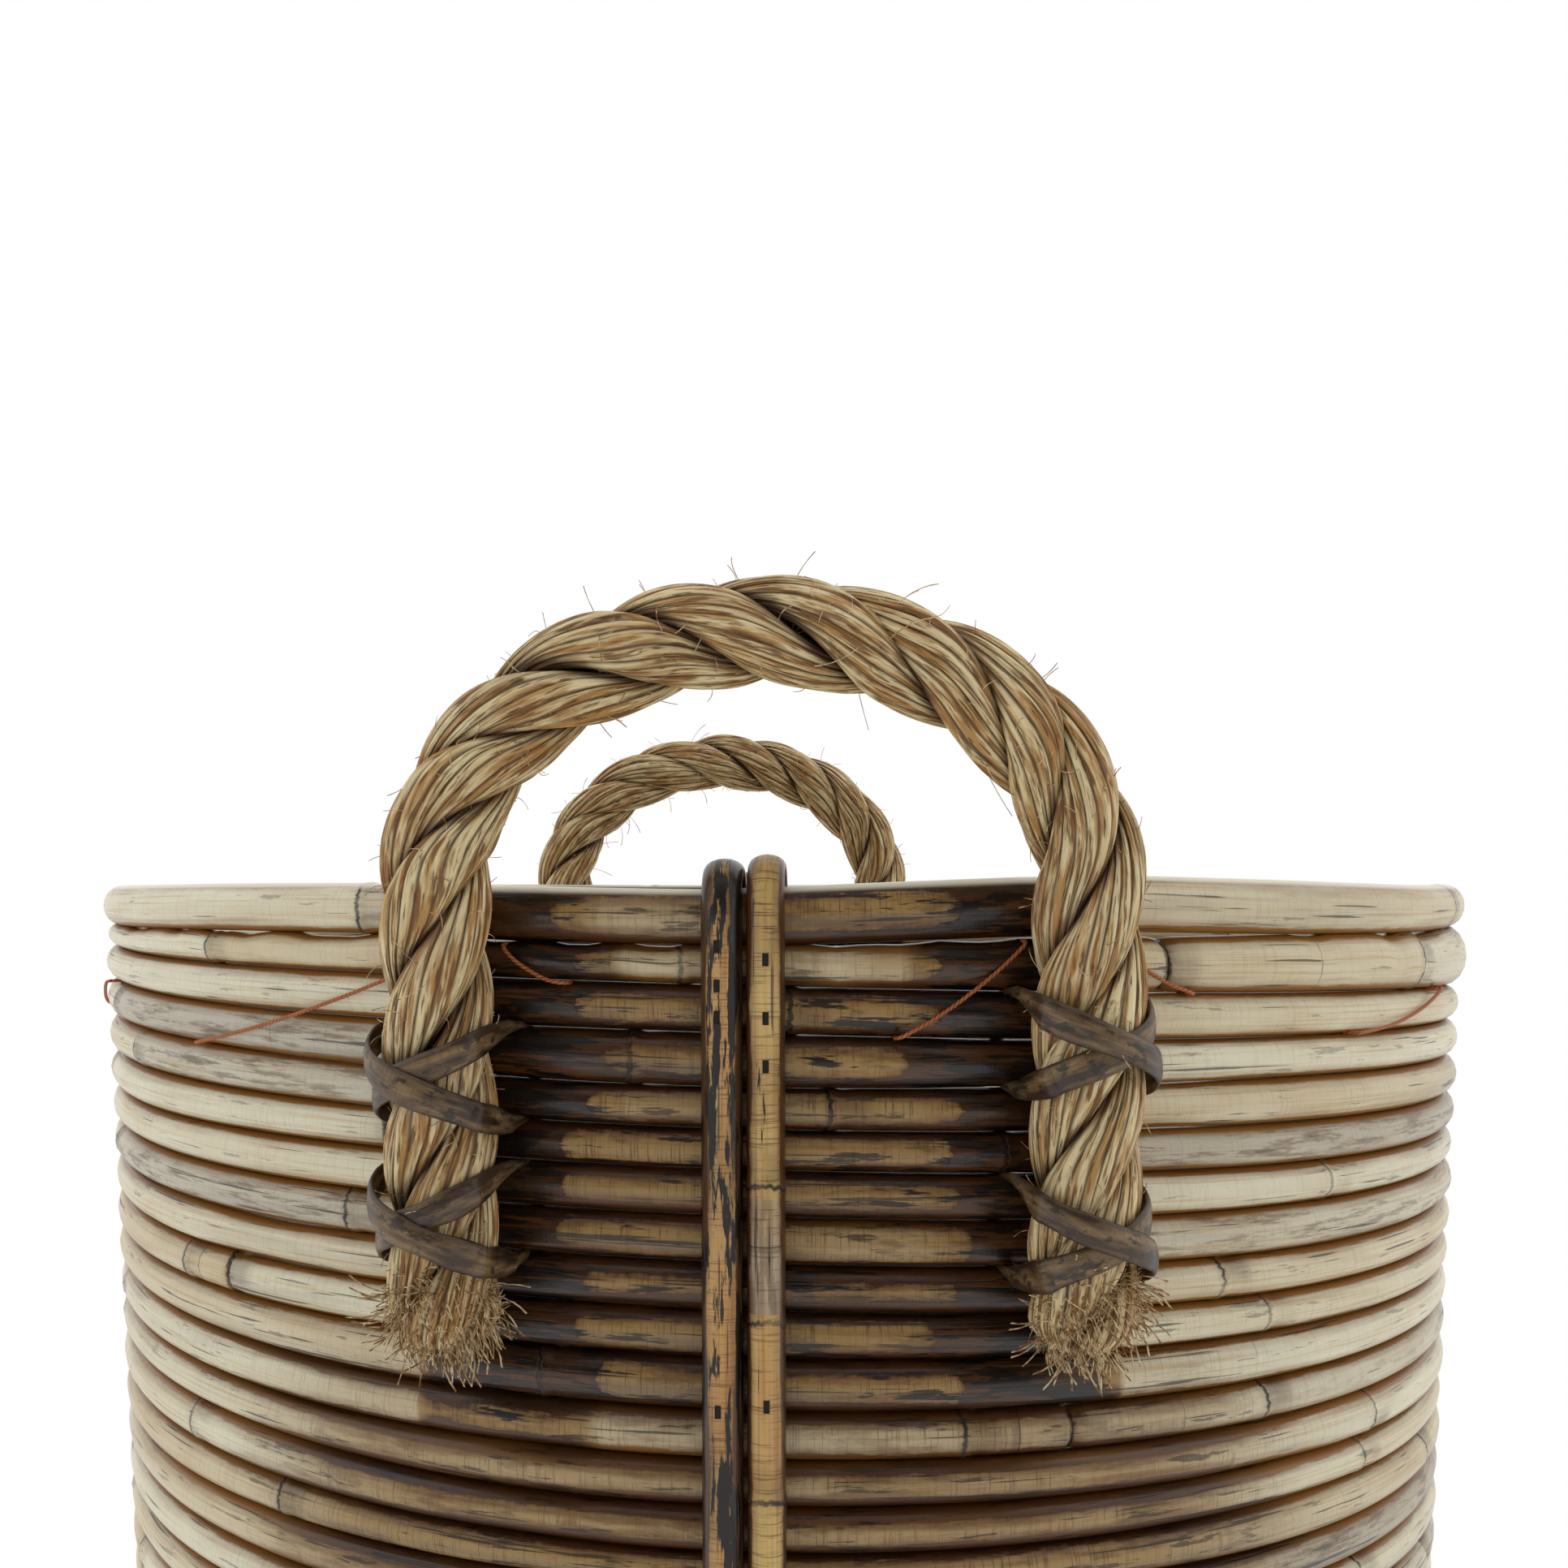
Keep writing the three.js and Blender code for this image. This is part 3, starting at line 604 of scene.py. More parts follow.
def wall_pole(strand, number, first, last, seed):
    rng = np.random.default_rng(seed)
    marks = [node for node in seen_nodes[strand] if first < node < last]
    spot = first + rng.uniform(*first_node)
    while spot < last:
        if all(abs(spot - node) > node_clearance for node in seen_nodes[strand]):
            marks.append(spot)
        spot += rng.uniform(*node_spacing)
    down = np.append(np.arange(first, last, cane_step / course_length), last)
    down = add_close_steps(down, marks, node_step / course_length)
    low, high = strand_edges(strand, down)
    angle = strand_start(strand) + strand_turn * down
    height = (low + high) / 2
    half_lift = (high - low) / 2
    half_side = (1 - round_share) * half_lift + round_share * cane_radius
    half_side = half_side + girth_wander * waves(seed, 4, 0.2, 0.8)(down)
    middles = place(angle, wall_radius(height), height)
    along = lengths_along(middles)
    rounding = rounded(np.minimum(along, along[-1] - along), *pole_end)
    nodes = [0.0, *np.interp(sorted(marks), down, along), along[-1]]
    label = "abc"[strand] + str(number)
    obj = cane(f"cane_{label}", middles, outward(angle), (0, 0, 1), half_side * rounding,
               half_lift * rounding, wall_finish, nodes, seed, stain=wall_stain_and_shadow(angle, height))
    fit(obj, "cane", f"wall_pole_{label}")


half_joint = joint_gap / 2 / course_length
for strand in range(3):
    last_end = course_count + 1 - strand_tips[0]
    joints = [strand_tips[strand]]
    joints += list(np.arange(first_joints[strand], last_end - shortest_pole, pole_courses))
    joints.append(last_end)
    for k in range(len(joints) - 1):
        wall_pole(strand, k + 1, joints[k] + half_joint, joints[k + 1] - half_joint,
                  wall_seed * 100 + strand * 10 + k)

# Rim cane and base hoop
# One thicker cane closes the top of the wall and another its foot, each bent to a ring and laid on
# or under the coil.
rim_nodes = (-27.5, 61, 128, 196, 262)
rim_looks = ((0.2, 0.65, 0.5), (0.25, 0.1, 0.6), (0.9, 0.3, 0.2), (0.6, 0.9, 0.3), (0.65, 0.3, 0.5),
             (0.7, 0.2, 0.2))
rim_clearance = 0.0001
rim_wobble = 0.0003
# Above this height in its section the rim is painted pale: partly unstained, partly a painted highlight.
rim_highlight_height = 0.0042
hoop_nodes = (15, 80, 143, 214, 290)
hoop_looks = ((0.5, 0.2, 0.5), (0.3, 0.2, 0.65), (0.7, 0.3, 0.45), (0.4, 0.1, 0.6), (0.6, 0.4, 0.5),
              (0.5, 0.2, 0.5))
hoop_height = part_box("base_hoop")[1].z
ring_step = 1.2
ring_sides = 24
ring_stain_share = 0.8


def ring_cane(name, node, node_angles, height, half_height, wobble, material, slot, seed, looks):
    node_angles = sorted(a % 360 for a in node_angles)
    node_turn = math.degrees(node_step / rim_radius)
    angle = add_close_steps(np.arange(0, 360, ring_step), node_angles, node_turn)
    rise = np.sin(np.radians(3 * angle + 50 * seed)) + np.sin(np.radians(7 * angle + seed))
    middles = place(angle, wall_radius(height), height + wobble * rise / 2)
    nodes = np.interp(node_angles, angle, lengths_along(middles))
    obj = cane(name, middles, outward(angle), (0, 0, 1), rim_width / 2, half_height, material, nodes,
               seed, ring_sides, closed=True, stain=ring_stain_share * wall_stain_and_shadow(angle, height),
               looks=looks)
    fit(obj, slot, node)
    return obj


def corners_of(obj):
    corners = np.empty(len(obj.data.vertices) * 3)
    obj.data.vertices.foreach_get("co", corners)
    return corners.reshape(-1, 3)


def bend_rim(rim):
    """Moves the even ring's top and bottom to their real heights."""
    corners = corners_of(rim)
    angle = np.degrees(np.arctan2(corners[:, 0], -corners[:, 1]))
    share = np.clip((corners[:, 2] - rim_top) / rim_height + 1, 0, 1)
    corners[:, 2] += rim_bend(rim_bottoms, angle) * (1 - share) + rim_bend(rim_tops, angle) * share
    rim.data.vertices.foreach_set("co", corners.ravel())


dark_finish = cane_material("dark_cane", pale=colour(176, 140, 88), warm=colour(146, 104, 54),
                            streaks=0.3)
rim_finish = cane_material("rim_cane", pale_highlight_above=rim_highlight_height)
bend_rim(ring_cane("rim", "rim_cane", rim_nodes, rim_middle, rim_height / 2 - rim_clearance,
                   rim_wobble, rim_finish, "cane", 3, rim_looks))
ring_cane("foot_hoop", "base_hoop", hoop_nodes, hoop_height / 2, hoop_height / 2, 0, dark_finish,
          "dark_cane", 5, hoop_looks)

# Floor
# A flat coil of the same cane lies inside the base hoop on two bearers of split cane, which are
# pressed in under it.
floor_low, floor_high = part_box("floor_coil")
floor_middle = (floor_low.z + floor_high.z) / 2
floor_pitch = 0.0108
floor_eye = 0.009
floor_radius = (floor_high.x - floor_low.x) / 2 - cane_radius + floor_pitch / 2
floor_turns = (floor_radius - floor_eye) / floor_pitch
floor_nodes = np.cumsum(np.random.default_rng(31).uniform(0.14, 0.32, 60))
floor_stain = 0.05
bearer_nodes = (0.09, 0.27)
bearer_rings = 90
bearer_end = (0.25, 0.004)


class NodeGroup(Nodes):
    """A Geometry Nodes tree with named inputs, which takes a mesh and gives back another."""

    def __init__(self, name, **inputs):
        super().__init__(bpy.data.node_groups.new(name, "GeometryNodeTree"))
        self.sockets = {}
        self.values = inputs
        interface = self.tree.interface
        for way in ("OUTPUT", "INPUT"):
            interface.new_socket("Geometry", in_out=way, socket_type="NodeSocketGeometry")
        for label, value in inputs.items():
            kind = "NodeSocketInt" if isinstance(value, int) else "NodeSocketFloat"
            self.sockets[label] = interface.new_socket(label, in_out="INPUT", socket_type=kind).identifier
        self.given = self.tree.nodes.new("NodeGroupInput")

    def __getitem__(self, label):
        return Value(self, self.given.outputs[label])

    def vector(self, x=0.0, y=0.0, z=0.0):
        return self.node("ShaderNodeCombineXYZ", {0: x, 1: y, 2: z})

    def random(self, kind, output, **limits):
        """A random number or vector for each point."""
        inputs = {**limits, "Seed": self["Seed"]}
        return self.node("FunctionNodeRandomValue", inputs, {"data_type": kind}, output)

    def end_with(self, geometry, material):
        whole = self.node("GeometryNodeRealizeInstances", {0: geometry})
        painted = self.node("GeometryNodeSetMaterial", {0: whole, "Material": material})
        self.node("NodeGroupOutput", {0: painted})

    def make(self, name, start_mesh=None, **values):
        """The tree's result for these inputs, as a new object with a plain mesh."""
        maker = in_scene(name + "_maker", start_mesh or bpy.data.meshes.new(name))
        modifier = maker.modifiers.new(name, "NODES")
        modifier.node_group = self.tree
        for label, value in {**self.values, **values}.items():
            modifier[self.sockets[label]] = value
        result = maker.evaluated_get(bpy.context.evaluated_depsgraph_get())
        plain = bpy.data.meshes.new_from_object(result)
        maker.modifiers.clear()
        bpy.data.objects.remove(maker)
        plain.name = name
        return in_scene(name, plain)


def floor_coil():
    """A tree that sweeps a round cane along a flat spiral and stores where each point lies."""
    coil = NodeGroup("flat_coil", Turns=float(floor_turns), Outer=float(floor_radius), Eye=floor_eye,
                     Thickness=2 * cane_radius, Steps=64, Sides=cane_sides)
    spiral = coil.node("GeometryNodeCurveSpiral", {
        "Resolution": coil["Steps"], "Rotations": coil["Turns"], "Start Radius": coil["Outer"],
        "End Radius": coil["Eye"], "Height": 0.0})
    profile = coil.node("GeometryNodeCurvePrimitiveCircle", {
        "Resolution": coil["Sides"], "Radius": coil["Thickness"] * 0.5})
    curves = []
    for curve, label, measure in ((spiral, "run", "Length"), (profile, "round", "Factor")):
        measured = coil.node("GeometryNodeSplineParameter", output=measure)
        curves.append(coil.node("GeometryNodeStoreNamedAttribute", {
            "Geometry": curve, "Name": label, "Value": measured}))
    tube = coil.node("GeometryNodeCurveToMesh", {
        "Curve": curves[0], "Profile Curve": curves[1], "Fill Caps": True})
    laid = coil.node("GeometryNodeTransform", {
        "Geometry": tube, "Translation": (0, 0, floor_middle), "Rotation": (0, 0, -math.pi / 2)})
    coil.end_with(laid, wall_finish)
    return coil


def stored_in(obj, name):
    values = np.empty(len(obj.data.vertices), np.float32)
    obj.data.attributes[name].data.foreach_get("value", values)
    return values


floor = floor_coil().make("floor")
floor_turn = stored_in(floor, "round") * 2 * np.pi
mark_cane(floor, stored_in(floor, "run"), cane_radius * np.cos(floor_turn),
          cane_radius * np.sin(floor_turn), (corners_of(floor)[:, 2] - floor_middle) / cane_radius,
          floor_nodes, np.full(len(floor_turn), floor_stain), 32)
for polygon in floor.data.polygons:
    polygon.use_smooth = len(polygon.vertices) == 4
fit(floor, "cane", "floor_coil")

for side in ("left", "right"):
    node = f"floor_bearer_{side}"
    low, high = (np.array(corner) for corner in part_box(node))
    middles = np.tile((low + high) / 2, (bearer_rings, 1))
    middles[:, 1] = np.linspace(low[1], high[1], bearer_rings)
    half_width, _, half_thickness = (high - low) / 2
    taper = rounded(high[1] - np.abs(middles[:, 1]), *bearer_end)
    bearer = cane(f"bearer_{side}", middles, (0, 0, -1), (1, 0, 0), half_thickness * taper,
                  half_width * taper, dark_finish, bearer_nodes, 41 + len(side))
    fit(bearer, "dark_cane", node)

# Stakes
# A pair of dark canes stands between the legs of each handle, against the wall outside and inside.
# Each is shaved thin where it bends over the rim, and brads pin it to the wall.
stake_angles = {"front": -2.3, "back": 186.3}
stake_rises = {"left": 0, "right": 0.001}
stake_width = {"left": 0.0095, "right": 0.0089}
stake_thickness = 0.009
stake_spacing = 0.010
stake_bend = 0.0055
stake_power = 0.8
bend_narrowing = 0.04
stake_step = 0.004
stake_foot = 0.0015
stake_nodes = {"left": (0.055, 0.36), "right": (0.1851, 0.2257, 0.2565)}
stake_sides = 18
# The stain of a stake, how it swings, and how it grows below the rim's top.
stake_stain = 0.1
stake_stain_swing = 0.1
stake_stain_rise = 0.2
stake_stain_reach = 0.03
seat_gap = 0.0003
stake_offset = rim_width / 2 + seat_gap + stake_thickness / 2
stake_inner_foot = floor_high.z + seat_gap
bend_steps = 20
signs = {"left": -1, "right": 1}
# Lightness, greyness and dark share between nodes, from the outer foot over the rim to the inner one.
stake_looks = {
    "left": ((0.1, 0.1, 0.9), (0.0, 0.1, 0.95), (0.1, 0.1, 0.9)),
    "right": ((0.8, 0.1, 0.1), (0.35, 0.1, 0.3), (0.4, 1.0, 0.2), (0.75, 0.1, 0.3)),
}
# The gap colour darkens a stake's sides, where the two stakes meet: partly stain, partly painted shade.
stake_finish = cane_material("stake_cane", pale=colour(232, 198, 122), warm=colour(196, 128, 68),
                             gap_and_shade_colour=colour(84, 58, 34), streaks=0.28, cracked=0.5)


def stake(face, side):
    angle = stake_angles[face]
    aside = signs[side] * stake_spacing / 2
    outer = np.arange(stake_foot, rim_middle, stake_step)
    turn = np.radians(np.linspace(0, 180, bend_steps + 1))
    inner = np.arange(rim_middle - stake_step, stake_inner_foot, -stake_step)
    inner = np.append(inner, stake_inner_foot)
    cosines, sines = np.cos(turn), np.abs(np.sin(turn))
    crown = rim_height / 2 + 2 * seat_gap + stake_bend / 2 + stake_rises[side]
    radius = np.concatenate([
        wall_radius(outer) + stake_offset,
        wall_radius(rim_middle) + stake_offset * np.sign(cosines) * np.abs(cosines) ** stake_power,
        wall_radius(inner) - stake_offset,
    ])
    height = np.concatenate([outer, rim_middle + crown * sines ** stake_power, inner])
    tilt = np.concatenate([0 * outer, turn, 0 * inner + math.pi])
    middles = place(angle, radius, height, aside)
    normal = outward(angle) * np.cos(tilt)[:, None] + np.array([0, 0, 1]) * np.sin(tilt)[:, None]
    thin = np.sin(tilt) ** stake_power
    half_width = stake_width[side] / 2 * (1 - bend_narrowing * thin)
    half_thick = stake_thickness / 2 * (1 - thin) + stake_bend / 2 * thin
    seed = 51 + 2 * list(stake_angles).index(face) + (side == "right")
    stain = stake_stain + stake_stain_swing * waves(seed, 5, 0.03, 0.2)(height) * np.cos(tilt) ** 2
    stain = stain + stake_stain_rise * smooth(height, rim_top - stake_stain_reach, rim_top)
    obj = cane(f"stake_cane_{face}_{side}", middles, normal, sideways(angle), half_thick, half_width,
               stake_finish, stake_nodes[side], seed, stake_sides, stain=np.clip(stain, 0, 1),
               looks=stake_looks[side])
    fit(obj, "dark_cane", f"stake_{face}_{side}")


for face in stake_angles:
    for side in signs:
        stake(face, side)

# Brads
# Flat-headed brads, 1.4 by 2.9 mm, pin the stakes to the wall. Their heads sit just below the
# stakes' faces in small dark holes; their near-black colour is partly dark metal and partly
# painted shade of those holes.
brad_width = 0.0014
brad_height = 0.0029
brad_depth = 0.0006
brad_sunk = 0.0002
brad_levels = {"left": (0.0139, 0.0227, 0.0298, 0.1186), "right": (0.0168, 0.0300, 0.0408, 0.1173)}
brad_aside = {"left": -0.0008, "right": 0.0002}


def brad_material():
    shader = Shader("brad_hole")
    grime = shader.position().noise(900, 900, 900)
    return shader.finish(
        # Near black: partly dark metal, partly painted shade of the holes the heads sit in.
        Base_Color=shader.mix(grime, colour(12, 9, 8), colour(46, 38, 32)),
        Roughness=0.55 + grime * 0.3,
        Metallic=0.3,
    )


def brad_group():
    """A tree that sets a block on each point, turned as the point says."""
    brads = NodeGroup("brads", Width=brad_width, Height=brad_height, Depth=brad_depth)
    size = brads.vector(brads["Width"], brads["Depth"], brads["Height"])
    block = brads.node("GeometryNodeMeshCube", {"Size": size})
    turned = brads.node("GeometryNodeInputNamedAttribute", {"Name": "turned"},
                        {"data_type": "FLOAT_VECTOR"})
    heads = brads.node("GeometryNodeInstanceOnPoints", {
        "Points": brads["Geometry"], "Instance": block, "Rotation": turned})
    brads.end_with(heads, brad_material())
    return brads


spots, turns = [], []
for face, angle in stake_angles.items():
    for side, levels in brad_levels.items():
        aside = signs[side] * stake_spacing / 2 + brad_aside[side]
        for level in levels:
            height = rim_top - level
            radius = wall_radius(height) + stake_offset + stake_thickness / 2 - brad_sunk
            spots.append(place(angle, radius, height, aside))
            turns.append((math.atan(wall_slope), 0, math.radians(angle)))
brad_points = mesh_of("brad_points", spots)
brad_points.attributes.new("turned", "FLOAT_VECTOR", "POINT").data.foreach_set("vector", np.ravel(turns))
fit(brad_group().make("stake_brads", brad_points), "dark_cane")

# Rope handles
# Each handle is one length of three-strand laid rope, 26 mm thick, bent over the rim into an arch.
# Its two legs hang against the wall, where lashings hold them, and their ends are frayed.
rope_radius = 0.013
leg_radius = rim_radius + seat_gap + rope_radius
handle_width = 0.150
handle_rise = 0.0585
leg_length = 0.104
lay_length = 0.074
lay_start = 0.0065
lay_radius = 0.0073
strand_half = (0.0057, 0.0081)
lay_wander = 0.12
strand_swell = 0.035
yarns = 24
yarn_depth = 0.0007
yarn_depths = (0.6, 1.3)
yarn_bulge = 0.0003
yarn_crest = 0.55
yarn_turn = -0.75
yarn_wander = 0.07
yarn_sides = 5
rope_step = 0.0018
rope_end = (0.3, 0.007)
leg_steps = 60
arch_steps = 180
blend_below = 0.012
blend_above = 0.018
tuft_radius = 0.0108
tuft_depth = 0.0075
tuft_rise = 0.0095
tuft_outwards = 0.75
tuft_aside = 0.25
tuft_down = 0.7
tuft_sides = 16
tuft_rings = 6
up = np.array([0.0, 0.0, 1.0])
leg_turn = math.degrees(math.asin(handle_width / 2 / leg_radius))
hinge_out = leg_radius * math.cos(math.radians(leg_turn))
straw_fibre = colour(255, 236, 184)
rope_tan = colour(198, 148, 84)
# Dark brown for dark hairs, and for painted shade between the yarns and strands.
rope_shade_and_hair = colour(84, 50, 22)


def unit(vectors):
    return vectors / np.linalg.norm(vectors, axis=-1)[..., None]


def leg_middle(angle, height):
    radius = leg_radius - wall_slope * (rim_middle - np.minimum(height, rim_middle))
    return place(angle, radius, height)


def handle_path(angle):
    """The rope's middle line, from the end of the left leg over the arch to that of the right."""
    levels = np.linspace(rim_top - leg_length, rim_top, leg_steps)
    turn = np.radians(np.linspace(180, 0, arch_steps + 1)[1:-1])
    arch = place(angle, hinge_out, rim_top + handle_rise * np.sin(turn), handle_width / 2 * np.cos(turn))
    left, right = leg_middle(angle - leg_turn, levels), leg_middle(angle + leg_turn, levels[::-1])
    return np.concatenate([left, arch, right])


def even_steps(points, step):
    along = lengths_along(points)
    spots = np.linspace(0, along[-1], int(along[-1] / step))
    return np.stack([np.interp(spots, along, points[:, k]) for k in range(3)], -1), spots


def directions(points):
    return unit(np.gradient(points, axis=0))


def square_to(vectors, ahead):
    """The vectors' parts square to the way ahead, at unit length."""
    return unit(vectors - (vectors * ahead).sum(1)[:, None] * ahead)


def rope_material():
    """Pale and tan fibres in yarns, with painted shade between the yarns and in the grooves between
    strands.
    """
    shader = Shader("laid_rope")
    lay = shader.stored("lay", "Vector")
    depth = shader.stored("depth")
    crest = shader.stored("crest")
    tint = shader.stored("tint")
    bundles = lay.noise(900, 900, 55, roughness=0.6)
    threads = lay.noise(2000, 2000, 90, detail=2, roughness=0.6, shift=6)
    fibres = lay.noise(4200, 4200, 140, detail=2, roughness=0.6)
    hairs = lay.noise(3000, 3000, 130, detail=2, roughness=0.6, shift=4)
    specks = lay.noise(500, 500, 120, detail=4, roughness=0.65, shift=2)
    worn = lay.noise(160, 160, 40, shift=8)
    pale_share = (fibres * 0.4 + threads * 0.6 + bundles - 0.5).ramp(0.36, 0.64) * 0.95
    base = shader.layers(
        shader.mix(pale_share + (tint - 0.5) * 0.25, rope_tan, straw_fibre),
        (worn.ramp(0.5, 0.66) * 0.25, colour(172, 120, 66)),
        # Painted shade between the yarns.
        ((1 - crest.ramp(0.0, 0.7)) * (0.5 + bundles * 0.7), rope_shade_and_hair),
        ((1 - threads).ramp(0.54, 0.64) * 0.7, colour(116, 72, 34)),
        (hairs.ramp(0.57, 0.66) * 0.75, rope_shade_and_hair),
        # Painted shade in the grooves between the strands.
        ((1 - depth.ramp(0.68, 0.86)) * 0.9, rope_shade_and_hair),
        (specks.ramp(0.64, 0.74) * 0.7, colour(66, 42, 22)),
    )
    return shader.finish(
        Base_Color=base,
        Roughness=0.55 + hairs * 0.2,
        Normal=shader.bump(fibres * 0.5 + threads + bundles - hairs * 0.4, 0.0009),
    )


rope_finish = rope_material()


def rope_strand(strand, seed, path, spots, normal, other):
    """One strand's rings of points, and what its material reads at each point."""
    rng = np.random.default_rng(seed + strand)
    sides = yarns * yarn_sides
    which = np.arange(sides) // yarn_sides
    base_turn = full_turn(sides)
    crest = np.sin(np.pi * (np.arange(sides) % yarn_sides) / yarn_sides) ** yarn_crest
    phase = 2 * np.pi * (strand / 3 + (spots - lay_start) / lay_length)
    phase = phase + lay_wander * waves(seed + strand, 4, 0.05, 0.2)(spots)
    swell = 1 + strand_swell * waves(seed + 10 + strand, 4, 0.03, 0.12)(spots)
    # The yarns turn against the strand, so they lie near the rope's own direction. Their widths
    # differ, and each stands out or sinks in along its length.
    seeds = 100 * seed + 20 * strand + np.arange(yarns)
    bulges = np.stack([waves(bulge_seed, 3, 0.02, 0.09)(spots) for bulge_seed in seeds], -1)
    wander = 0.05 * np.sin(3 * base_turn + rng.uniform(0, 6))
    wander = wander + 0.035 * np.sin(7 * base_turn + rng.uniform(0, 6))
    theta = base_turn + wander + yarn_turn * phase[:, None]
    theta = theta + yarn_wander * waves(seed + 30 + strand, 6, 0.025, 0.09)(spots)[:, None]
    ridge = yarn_depth * rng.uniform(*yarn_depths, yarns)[which] * (crest - 1)
    ridge = ridge + yarn_bulge * bulges[:, which] * crest
    radial, tangent = ((half * swell)[:, None] + ridge for half in strand_half)
    # The strands are pressed together, so each one's section bends round the rope's middle.
    radius = lay_radius + radial * np.cos(theta)
    turn = phase[:, None] + tangent * np.sin(theta) / lay_radius
    tuck = rounded(np.minimum(spots, spots[-1] - spots)[:, None], *rope_end)
    x, y = (tuck * radius * wave(turn) for wave in (np.cos, np.sin))
    points = swept(path, normal, other, x, y)
    count = len(path)
    section = strand_half[0] * np.stack([np.cos(base_turn), np.sin(base_turn)], -1) + 0.1 * strand
    lay = np.dstack([np.tile(section, (count, 1, 1)), np.tile(spots[:, None], sides)])
    return (points.reshape(-1, 3), lay.reshape(-1, 3), (radius / rope_radius).ravel(),
            np.tile(crest, count), np.tile(rng.random(yarns)[which], count))


def laid_rope(name, angle, seed):
    """Three strands, each twisted from yarns that turn the other way round in it."""
    path, spots = even_steps(handle_path(angle), rope_step)
    ahead = directions(path)
    normal = square_to(outward(angle), ahead)
    other = np.cross(ahead, normal)
    strands = [rope_strand(k, seed, path, spots, normal, other) for k in range(3)]
    points, *marks = (np.concatenate(arrays) for arrays in zip(*strands))
    faces = []
    for first in range(0, len(points), len(points) // 3):
        faces += ring_faces(len(path), yarns * yarn_sides, first=first)
    obj = piece_of(name, points, faces, rope_finish)
    for label, values in zip(("lay", "depth", "crest", "tint"), marks):
        give(obj, label, values)
    return obj


def blend_over_hinge(obj, face):
    """Bakes the piece's placement into its mesh."""
    low, high = (place(handle_angles[face], hinge_out, level)
                 for level in (rim_top - blend_below, rim_top + blend_above))
    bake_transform(obj)


def fibre_material():
    shader = Shader("loose_fibre")
    shade = shader.position().noise(420, 420, 420, detail=2)
    return shader.finish(
        Base_Color=shader.mix(shade.ramp(0.35, 0.65), colour(150, 104, 52), colour(246, 224, 178)),
        Roughness=0.6 + shade * 0.1,
    )


def fibre_group():
    """A tree that sets bent fibres on a mesh, leaning at random, most of them short."""
    given = NodeGroup("loose_fibres", Density=12000.0, Length=0.0052, Bend=0.6, Tilt=1.9, Droop=0.0,
                      Thickness=0.00011, Seed=1)
    points = given.node("GeometryNodeDistributePointsOnFaces", {
        "Mesh": given["Geometry"], "Density": given["Density"], "Seed": given["Seed"]})
    length = given["Length"]
    curve = given.node("GeometryNodeCurveQuadraticBezier", {
        "Resolution": 5, "Start": (0, 0, 0), "Middle": given.vector(z=length * 0.55),
        "End": given.vector(x=length * given["Bend"], z=length * 0.9)})
    ring = given.node("GeometryNodeCurvePrimitiveCircle", {
        "Resolution": 3, "Radius": given["Thickness"]})
    fibre = given.node("GeometryNodeCurveToMesh", {
        "Curve": curve, "Profile Curve": ring, "Fill Caps": True})
    tilt = given.random("FLOAT_VECTOR", 0, Min=(-1, -1, -1), Max=(1, 1, 1))
    way = tilt.vector_math("SCALE", {"Scale": given["Tilt"]})
    way = way.vector_math("ADD", {1: points.beside("Normal")})
    way = way.vector_math("ADD", {1: given.vector(z=given["Droop"] * -1)})
    aligned = given.node("FunctionNodeAlignRotationToVector", {"Vector": way}, {"axis": "Z"})
    spin = given.random("FLOAT", 1)
    spun = given.node("FunctionNodeAxisAngleToRotation", {
        "Axis": (0, 0, 1), "Angle": spin * (2 * math.pi)})
    turned = given.node("FunctionNodeRotateRotation", {"Rotation": aligned, "Rotate By": spun},
                        {"rotation_space": "LOCAL"})
    stretch = given.random("FLOAT", 1) ** 4 * 2 + 0.5
    fibres = given.node("GeometryNodeInstanceOnPoints", {
        "Points": points, "Instance": fibre, "Rotation": turned,
        "Scale": given.vector(1.0, 1.0, stretch)})
    given.end_with(fibres, fibre_material())
    return given


def tuft_base(angle, sign):
    """A dome over a rope leg's cut end, from which its frayed fibres grow. It looks down and
    outwards, and the right one also to the side."""
    end = leg_middle(angle + sign * leg_turn, rim_top - leg_length + tuft_rise)
    aside = tuft_aside * (1 + sign) * sideways(angle)
    axis = unit(tuft_outwards * outward(angle) + aside - tuft_down * up)
    across = unit(np.cross(up, axis))
    turn = full_turn(tuft_sides)[:, None]
    spread = np.cos(turn) * across + np.sin(turn) * np.cross(axis, across)
    rise = np.radians(np.linspace(0, 80, tuft_rings))[:, None, None]
    points = end + tuft_radius * np.cos(rise) * spread + tuft_depth * np.sin(rise) * axis
    faces = ring_faces(tuft_rings, tuft_sides)
    faces.pop(-2)
    return mesh_of("tuft_base", points, faces)


fibre_tree = fibre_group()
for face, angle in handle_angles.items():
    seed = 71 if face == "front" else 91
    rope = laid_rope(f"rope_{face}", angle, seed)
    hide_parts(*(f"handle_{face}_{part}" for part in ("arch", "leg_left", "leg_right")))
    loose = fibre_tree.make(f"rope_fibres_{face}", rope.data.copy(), Seed=seed)
    for obj in (rope, loose):
        blend_over_hinge(obj, face)
    for k, side in enumerate(signs):
        tuft = fibre_tree.make(f"rope_end_{face}_{side}", tuft_base(angle, signs[side]),
                               Density=1600000.0, Length=0.0058, Bend=0.7, Tilt=0.9, Droop=0.5,
                               Thickness=0.00017, Seed=seed + k + 1)
        fit(tuft, "rope")

